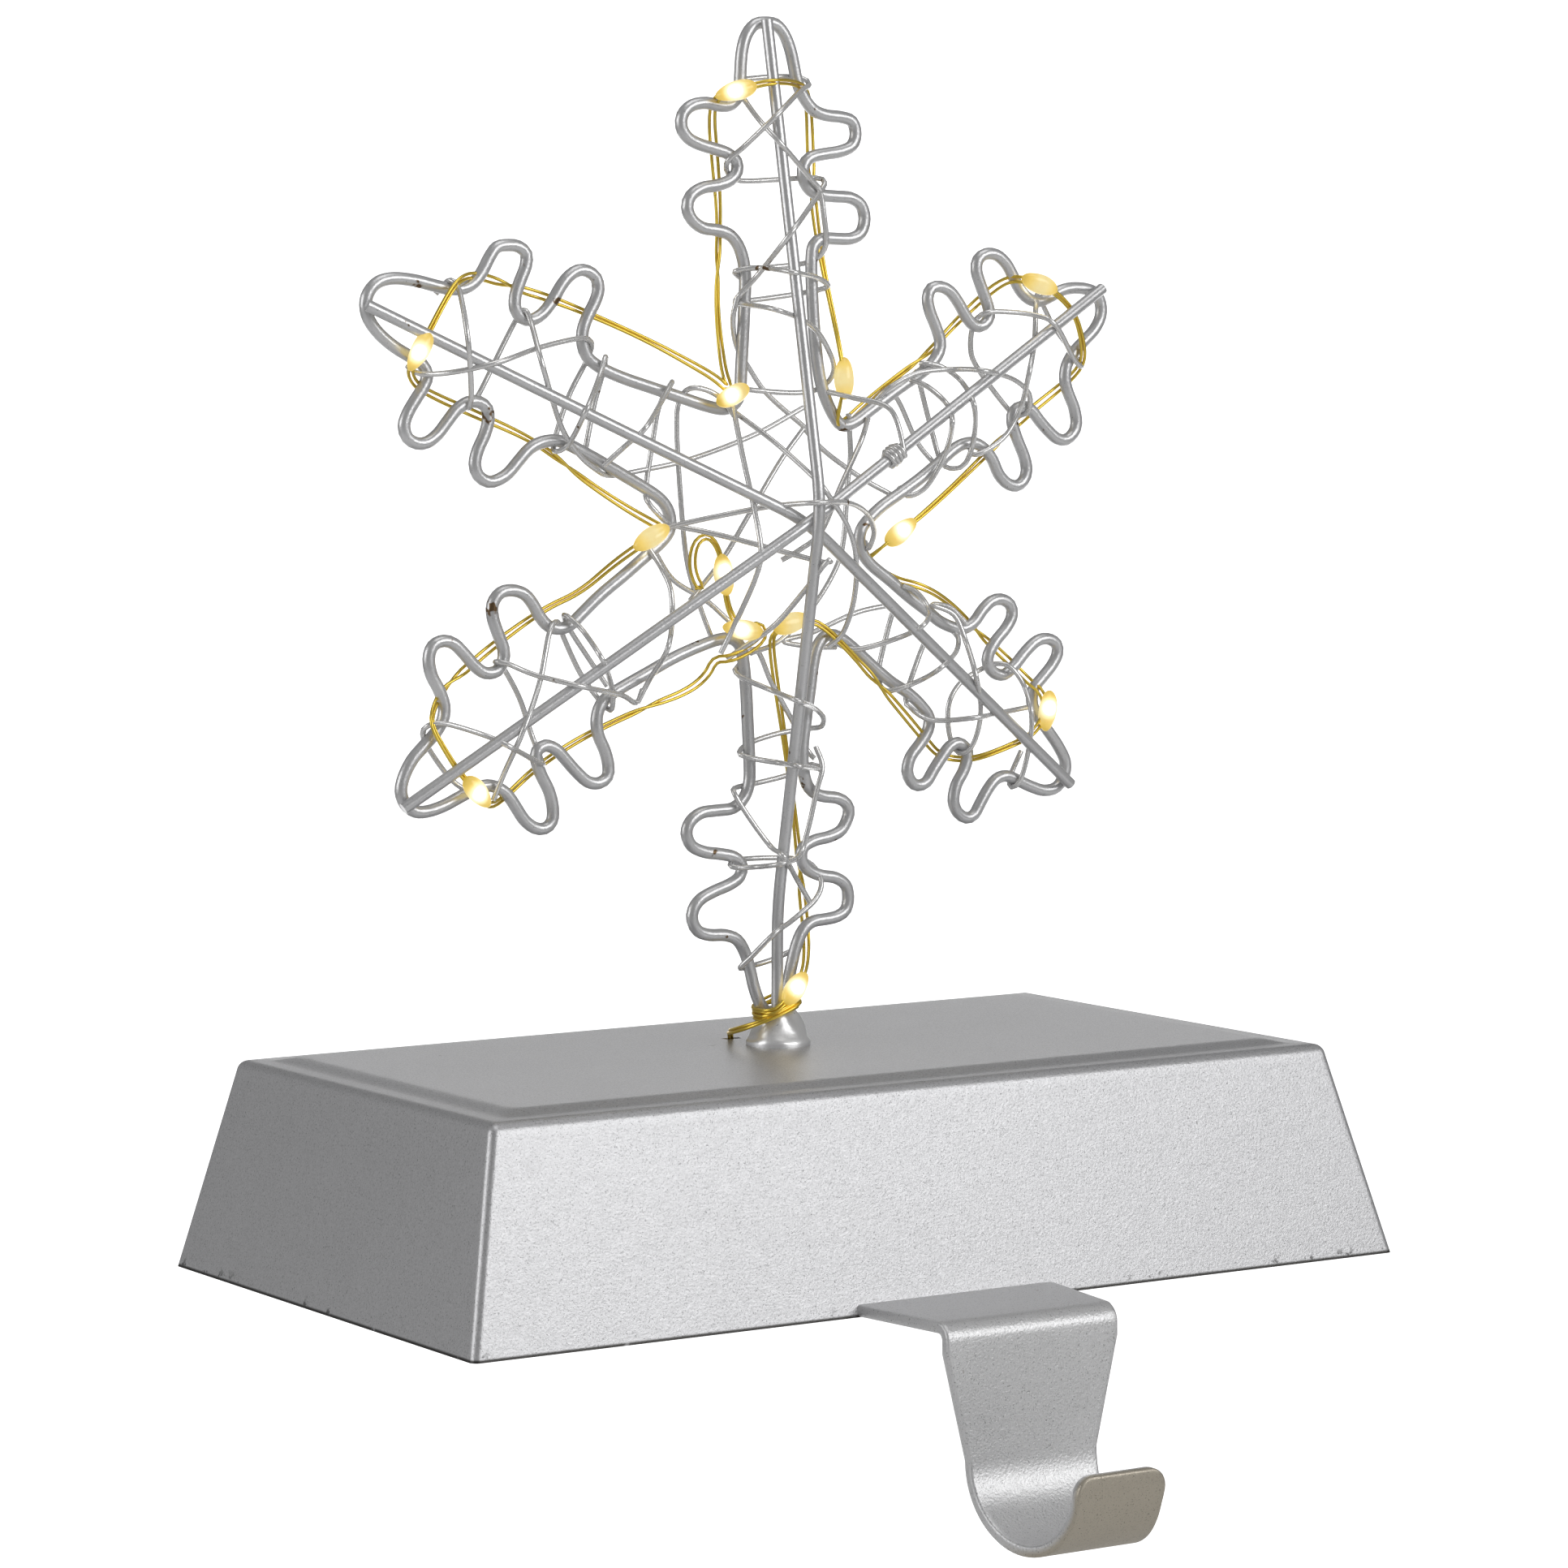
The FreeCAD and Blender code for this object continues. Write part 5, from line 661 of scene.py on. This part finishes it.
    [(21.6, -1.2, 18.6), (23.6, -1.3, 15.8), (26.5, -1.5, 10.5), (29.4, -1.2, 7.2)],
], "centre": [
    [(-20.9, 1.4, -1.7), (-17.6, 1.9, -0.6), (-11.8, 5, 0.8), (-4.9, 9, 2.2), (-0.7, 15.2, 2.8), (6.1, 12, 2.5),
     (12.3, 7, 0.8), (16.1, 3, -2.1), (16.3, 1.2, -4.5), (17, -0.8, -3.7)],
    [(-16.1, 1, -0.4), (-11.2, 4, -1.6), (-5.6, 8, -3.4), (1.2, 13.2, -5.7), (1.2, 14.6, -5.3), (0.7, 13.8, -6.2),
     (0, 9.6, -10), (-1.9, 5, -14.7), (-5.2, 2.6, -17.6), (-8, 1.6, -19.5)],
    [(-6.6, 1.8, 16.3), (-7.3, 5.4, 9.5), (-7.9, 9.6, 1.6), (-7.9, 11.2, -4), (-7.8, 9.2, -8.1), (-7.9, 3.8, -14.6),
     (-9, 1.8, -18.6)],
    [(-6.2, 1.6, 15.4), (-2.3, 6, 11.1), (0.3, 12.6, 6), (2, 13.6, 3.5), (6.3, 11.6, -1), (9.1, 9.2, -5.7),
     (10.8, 5.8, -11.7), (10.9, 2.6, -16.5), (9.2, 1.2, -18.4)],
    [(14.3, -0.8, 14.8), (15.1, -1.6, 8.9), (14.5, -1.6, 4.3), (13.9, -1.6, -2.7), (12.5, -1.6, -7.3),
     (8.3, -1.6, -13), (2.5, -1.2, -17.5), (-3.3, 0.6, -18.9)],
    [(7.2, -1.6, 12.8), (3.1, -1.6, 8), (-2.5, -1.6, 0.1), (-6.6, -1.6, -5.6), (-12.1, -1.4, -11.2)],
    [(22, -1.2, 2.9), (16.8, -1.6, 5.6), (10.6, -1.6, 9.6), (7.2, -1.6, 12.9)],
    [(-2, 7, -5.5), (0.4, 8, -4.1), (3.2, 9.4, -1.5), (9.8, 4, 4.5), (15.5, 0.5, 10.7), (16.4, 1.2, 14.2)],
    [(21.9, -1.2, -12.9), (15.9, -1.6, -13.9), (8.3, -1.6, -16.5), (3.3, -1.4, -17.5), (8.2, -1.5, -18.5),
     (12.1, -1.1, -18.7)],
]}
binding_silver = surface("binding_silver", (0.80, 0.795, 0.79), 0.7, 0.26, grain=2400.0, vary=0.06,
                         bump=0.3, fleck=0.3, chip=0.29)
for arm, pieces in BINDINGS.items():
    paths = [soft([in_front(*place) for place in places], BINDING_STEP * MM) for places in pieces]
    binding = wires("binding_" + arm, paths, BINDING_R, binding_silver, sides=8)
    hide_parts("binding_wire_" + arm)
    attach(binding, "holder")

# The lamp string is a pair of fine enamelled copper wires, soldered to the board inside, led out
# through a hole behind the foot, wound three times round the snowflake's legs and then along all
# its arms. The two wires lie side by side and cross only now and then.
FROM_BOARD = [(-24, -26, 9.4), (-24, -26, 20.4), (-15, -12, 23.4), (-5.3, 8.3, 23.4), (-1.3, 12.3, 25.0),
              (-1.3, 12.3, 32.2), (-4.8, 7.4, 32.6), (-4.4, 0.8, 34.4)]
for level in (36.0, 36.5, 37.0):
    FROM_BOARD += [(0.2, -0.7, level), (3.5, -0.1, level + 1.1), (3.3, 5.2, level + 1.0), (0.2, 5.6, level),
                   (-2.6, 4.8, level - 0.9), (-2.8, -0.1, level - 0.9)]
FROM_BOARD += [(-1.2, -1.1, 36.6)]
STRING = [
    (1.9, 3.4, -67), (3.8, 2.6, -65.1), (5.8, 0.2, -62.9), (6.9, -1.6, -59.9), (6.4, -1.9, -54), (5.9, -1.9, -48.1),
    (4.9, -1.9, -39.8), (3.6, -1.9, -31), (2.2, -1.7, -23.3), (0.8, -0.6, -18), (0.2, 1, -16.1), (3.1, 1.2, -14.8),
    (6.5, 1.2, -14.5), (8.6, 1.8, -15.7), (12.2, 1.9, -18.9), (17.7, 1.9, -24.4), (22.5, 1.6, -29.3),
    (27, -0.6, -32.8), (29.9, -1.7, -35.2), (33, -1.2, -36), (34.8, 1.5, -35.7), (39.3, 2.2, -34.3),
    (42.9, 2.4, -33), (44.5, 2.6, -31.7), (46.2, 2.8, -29.2), (45.7, 2, -26.3), (45.3, -0.6, -25.1),
    (42.1, -1.8, -21.6), (36.4, -1.8, -17), (33, -1, -14.1), (28.1, 1.2, -11.5), (24.4, 1.4, -10), (22, -0.2, -9.4),
    (19.6, -1.4, -7.8), (16.6, -0.6, -6.5), (18.2, 0.8, -4.9), (22, 1, -2.3), (24.9, 0.8, -0.6), (31, 0.2, 3.5),
    (38.5, -1.5, 8.5), (45.5, -1.8, 14), (51.6, -1.6, 18), (54.1, -1, 20.1), (54, 1.2, 22), (53.4, 1.9, 24.9),
    (51.8, 2.2, 29), (48.6, 2.4, 31.8), (45.2, 2.8, 33.2), (42.3, 1.8, 34.1), (41.2, -0.8, 33.7),
    (37.9, -1.8, 31.2), (32.4, -1.8, 26.8), (28.9, -1.8, 23.4), (22.5, -1.7, 19.6), (16.8, -1.6, 15.7),
    (13.3, -0.8, 13.2), (11.1, 0.9, 13.7), (11.3, 1.8, 16), (11.9, 2, 19.9), (11.5, 1.6, 23.9), (11.5, -0.4, 29.3),
    (10.7, -1.8, 36.3), (9.5, -1.8, 43.2), (8.9, -1.8, 50.7), (8.7, -1.7, 57), (7.8, -0.9, 60.7), (5, 1.4, 61.7),
    (-0.4, 4.6, 61.8), (-3.2, 3.4, 61.3), (-6.2, 2.8, 60.4), (-8.4, 1, 59.7), (-7.7, -1.6, 57.2), (-7, -1.8, 50.6),
    (-6.4, -1.8, 43.5), (-6.8, -1.7, 35.7), (-7.3, -1.2, 30), (-7.1, -0.6, 24.3), (-7.8, 1.6, 20.6),
    (-7.2, 2.8, 17.8), (-9.1, 1.8, 20.1), (-12.8, 0.4, 22.4), (-18.6, -0.8, 25.5), (-25.9, -1.8, 28.7),
    (-33.6, -1.8, 31.5), (-40, -1.8, 33.2), (-44.4, -1.2, 34.5), (-48.2, 0.9, 34.9), (-50.9, 2, 33.6),
    (-53.8, 2.6, 29.7), (-56.9, 2.8, 24.5), (-57.9, 1.4, 21.9), (-55.6, -1, 19.8), (-52.3, -1.8, 18.3),
    (-46.7, -1.8, 16), (-39, -1.8, 12.9), (-34.7, -1.6, 10.5), (-29.1, -1.2, 6.2), (-23.7, -0.6, 2.7),
    (-19.9, 0.8, 0.3), (-18.3, 2.2, -0.8), (-20.6, 2.6, -1.9), (-22.4, 1.6, -3.2), (-25.2, -0.4, -5.6),
    (-30, -1.2, -9.4), (-35.5, -1.8, -11.5), (-43.3, -1.8, -16.1), (-48.5, -1.8, -19.8), (-52, -1.2, -22.1),
    (-54.5, 0.8, -24.4), (-55.5, 1.8, -26.6), (-53.6, 2.3, -30.2), (-51.5, 2.6, -33.5), (-48.9, 2.8, -36.2),
    (-46.2, 1.2, -38.7), (-42, -1.4, -37.3), (-37.8, -1.8, -34.1), (-31.9, -1.8, -30.8), (-26.1, -1.6, -28.3),
    (-19.2, -1, -25.8), (-12.9, -0.8, -24), (-9.8, -0.6, -21.8), (-9.7, 1.2, -19.4), (-7.7, 2.2, -19.5),
    (-4.5, 2.6, -18.2), (-2.1, 2.8, -16.4), (-3.1, 2.8, -14.5), (-5.8, 2.6, -15.4), (-7, 1.8, -13.8),
    (-8, 1.8, -11.2), (-8.6, 2.2, -7.5), (-9.4, 2.2, -3.7), (-11.2, 2.2, -1.7), (-13.3, 2.2, -2.8),
    (-13.8, 2, -5.8), (-12.9, 1.8, -8.5), (-11.5, 1.6, -9.7), (-12.8, 1.2, -9.2),
]
STRAND_R, STRAND_OFF, STRAND_LOOSE = 0.24, 0.34, 0.09
CROSS_EVERY, CROSS_SHARE = 55.0, 0.16
SWAY, SWAY_LONG, LOOSE_LONG, LEVELLING = 0.35, 9.0, 5.7, 0.12
curve = bpy.data.curves.new("string_route", "CURVE")
curve.dimensions = "3D"
curve.resolution_u = 8
route = [Vector(place) * MM for place in FROM_BOARD] + [in_front(*place) for place in STRING]
spline = curve.splines.new("NURBS")
spline.points.add(len(route) - 1)
for point, place in zip(spline.points, route):
    point.co = (*place, 1)
spline.order_u = 3
spline.use_endpoint_u = True
guide = bpy.data.objects.new("string_route", curve)
bpy.context.scene.collection.objects.link(guide)
line = []
for vertex in bpy.data.meshes.new_from_object(guide).vertices:
    if not line or (vertex.co - line[-1]).length > WIRE_STEP * MM:
        line.append(vertex.co.copy())
bpy.data.objects.remove(guide)
strands = [[], []]
travel, side = 0.0, Vector((1, 0, 0))
for before, place, after in zip(line[:1] + line, line, line[1:] + line[-1:]):
    travel += (place - before).length / MM
    way = (after - before).normalized()
    side = (side - way * side.dot(way)).normalized()
    flat = way.cross(Vector((0, 1, 0)))
    if flat.length > 0.3:
        side = side.lerp(flat.normalized() * copysign(1, flat.dot(side)), LEVELLING).normalized()
    crossings, share = divmod(travel / CROSS_EVERY, 1)
    share = max(0.0, (share - 1 + CROSS_SHARE) / CROSS_SHARE)
    turn = pi * (crossings + eased(share)) + SWAY * sin(travel / SWAY_LONG)
    off = (side * cos(turn) + way.cross(side) * sin(turn)) * MM
    off *= STRAND_OFF + STRAND_LOOSE * sin(travel / LOOSE_LONG)
    strands[0].append(place + off)
    strands[1].append(place - off)
lamp_enamel = surface("lamp_enamel", (0.87, 0.64, 0.11), 1.0, 0.30, grain=1500.0, vary=0.1)
string = wires("lamp_string", strands, STRAND_R, lamp_enamel, sides=8)
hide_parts("lamp_wires")
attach(string, "holder")

# Thirteen drops of clear resin are cast over the small lamps soldered between the two wires.
# Each is white where its lamp shines and turns deep yellow to its ends; some lamps look to the
# back. A lamp is (its place in the string, the way it looks: 1 front, 0 aside, -1 back).
LAMPS = [(0, 1), (11, 0), (24, 1), (36, 1), (47, -1), (58, 0), (69, 1),
         (78, 1), (89, 1), (100, -1), (112, 1), (126, 1), (129, 1)]
DROP_LONG, DROP_R, DROP_END_R = 6.1, 1.38, 0.02
DROP_BLUNT, DROP_LEAN, DROP_OVAL, DROP_LUMPS = 1.9, 0.2, 0.06, 0.04
LAMP_FACES, LAMP_OUT, LAMP_ALONG, GLOW_R = Vector((-0.35, -0.9, 0.1)).normalized(), 1.5, 0.4, 1.4
RESIN_END, RESIN_SIDE, RESIN_MIDDLE = (0.70, 0.50, 0.05), (1.0, 0.76, 0.18), (1.0, 0.90, 0.5)
lamp_drop, tree, shader, place = new_material("lamp_drop")
shine = read_map(tree)
body = ramp(tree, shine["Y"], [(0.0, RESIN_END), (0.16, RESIN_SIDE), (0.4, RESIN_MIDDLE),
                               (0.6, RESIN_MIDDLE), (0.84, RESIN_SIDE), (1.0, RESIN_END)])
body = blended(tree, noise(tree, place, 700.0), body, blended(tree, 1.0, body, (0.8, 0.7, 0.5), "MULTIPLY"))
core = ramp(tree, shine["X"], [(0.15, 0), (0.75, 1)])
strength = ramp(tree, shine["X"], [(0.1, 0.72), (0.5, 1.3), (0.9, 4.0)])
resin = blended(tree, noise(tree, place, 300.0), (0.38, 0.27, 0.09), (0.5, 0.38, 0.15))
gloss = ramp(tree, noise(tree, place, 700.0), [(0.3, 0.1), (0.7, 0.2)])
tree.links.new(blended(tree, core, body, (1.0, 0.97, 0.84)), shader.inputs["Emission Color"])
tree.links.new(strength, shader.inputs["Emission Strength"])
tree.links.new(resin, shader.inputs["Base Color"])
tree.links.new(gloss, shader.inputs["Roughness"])
bumped(tree, shader, noise(tree, place, 400.0), 0.4)
points, faces, shares = [], [], []
rings, around = 18, 16
for number, looks in LAMPS:
    centre = in_front(*STRING[number])
    before = in_front(*STRING[number - 1]) if number else route[len(FROM_BOARD) - 1]
    way = (in_front(*STRING[number + 1]) - before).normalized()
    u = way.orthogonal().normalized()
    v = way.cross(u)
    lamp = centre + (LAMP_FACES * (LAMP_OUT * looks) + way * LAMP_ALONG) * MM
    lean = random.uniform(-DROP_LEAN, DROP_LEAN)
    faces += ring_faces(len(points), rings + 1, around)
    for t in (-cos(pi * i / rings) for i in range(rings + 1)):
        r = DROP_R * sqrt(max(0.0, 1 - abs(t)**DROP_BLUNT)) * (1 + lean * t) + DROP_END_R
        for turn in (2 * pi * k / around for k in range(around)):
            uneven = 1 + DROP_OVAL * cos(2 * turn + number) + DROP_LUMPS * sin(3 * turn + 2 * t + number)
            out = (u * cos(turn) + v * sin(turn)) * (r * uneven)
            points.append(centre + (way * (DROP_LONG / 2 * t) + out) * MM)
            near = exp(-((points[-1] - lamp).length / (GLOW_R * MM))**2) if looks else 0.0
            shares.append((near, 0.5 + 0.5 * t))
drops = mesh_object("lamp_drops", points, faces, lamp_drop)
give_map(drops, "shine", shares)
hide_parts("lamps")
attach(drops, "holder")

# The floor is a sheet of plain pale paper that bends up behind the object, as in a product
# studio. Farther off it shines by itself, so that the background is even and nearly white.
# The sizes of the floor, the lamps and the camera are in metres.
FLOOR_LOW, FLOOR_BACK, FLOOR_BEND, FLOOR_TOP, FLOOR_HALF = -0.22, 2.6, 0.6, 0.7, 0.75
VIEW_YAW = 31.55
floor_white, tree, shader, place = new_material("floor_white")
paper = ramp(tree, noise(tree, place, 3.0), [(0.3, 0.93), (0.7, 0.95)])
tree.links.new(paper, shader.inputs["Base Color"])
shader.inputs["Roughness"].default_value = 0.9
shader.inputs["Emission Color"].default_value = (1, 1, 1, 1)
strength = ramp(tree, read_map(tree)["X"], [(0.3, 0), (0.62, 1)])
tree.links.new(strength, shader.inputs["Emission Strength"])
profile = [(along, FLOOR_LOW) for along in (-1.0, 0.0, 0.6, FLOOR_BACK - FLOOR_BEND)]
for turn in (radians(10 * k) for k in range(1, 10)):
    profile.append((FLOOR_BACK - FLOOR_BEND * (1 - sin(turn)), FLOOR_LOW + FLOOR_BEND * (1 - cos(turn))))
profile.append((FLOOR_BACK, FLOOR_TOP))
turned = Matrix.Rotation(radians(-VIEW_YAW), 3, "Z")
points = [turned @ Vector((across, along, z)) for along, z in profile for across in (-FLOOR_HALF, FLOOR_HALF)]
faces = [(2 * i, 2 * i + 1, 2 * i + 3, 2 * i + 2) for i in range(len(profile) - 1)]
floor = mesh_object("floor", points, faces, floor_white)
give_map(floor, "distance", [(max(0.0, along), 0.5) for along, z in profile for side in range(2)])

# Soft light falls from three large flat lamps: in front and a little to the right, from the left
# side, and from above. The white room adds a faint even light to them.
world = bpy.data.worlds.new("studio")
world.use_nodes = True
background = world.node_tree.nodes["Background"].inputs
background["Color"].default_value = (1, 1, 1, 1)
background["Strength"].default_value = 0.25
bpy.context.scene.world = world


def softbox(name, azimuth, height, distance, size, power):
    """A flat lamp turned to the object; azimuth 0 is in front of it, and positive to its right."""
    light = bpy.data.lights.new(name, "AREA")
    light.shape = "RECTANGLE"
    light.size, light.size_y = size
    light.energy = power
    lamp = bpy.data.objects.new(name, light)
    angle = radians(azimuth)
    lamp.location = (distance * sin(angle), -distance * cos(angle), height)
    lamp.rotation_mode = "QUATERNION"
    lamp.rotation_quaternion = (Vector((0, 0, 0.05)) - lamp.location).to_track_quat("-Z", "Y")
    bpy.context.scene.collection.objects.link(lamp)


softbox("key", 24, 0.50, 1.2, (0.9, 0.6), 4.9)
softbox("fill", -100, 0.45, 1.4, (0.9, 0.8), 4.6)
softbox("top", 10, 1.4, 0.3, (0.8, 0.8), 2.8)

# The camera stands where the photograph was taken from, in front on the left and a little above.
# Its place, its turn and its long lens were worked out from the base's edges and corners.
PHOTO_PIXELS, FOCAL_PIXELS = 1932, 6683
VIEW_PITCH, VIEW_ROLL = 4.83, -0.52
view = bpy.data.cameras.new("view")
view.sensor_width = 36.0
view.lens = FOCAL_PIXELS / PHOTO_PIXELS * view.sensor_width
view.clip_start, view.clip_end = 0.05, 20
camera = bpy.data.objects.new("view", view)
turn = Euler((radians(90 - VIEW_PITCH), 0, radians(-VIEW_YAW))).to_matrix()
turn @= Matrix.Rotation(radians(VIEW_ROLL), 3, "Z")
camera.rotation_mode = "QUATERNION"
camera.rotation_quaternion = turn.to_quaternion()
camera.location = (-0.4026, -0.6566, 0.1338)
bpy.context.scene.collection.objects.link(camera)
bpy.context.scene.camera = camera
bpy.context.scene.view_settings.view_transform = "Standard"
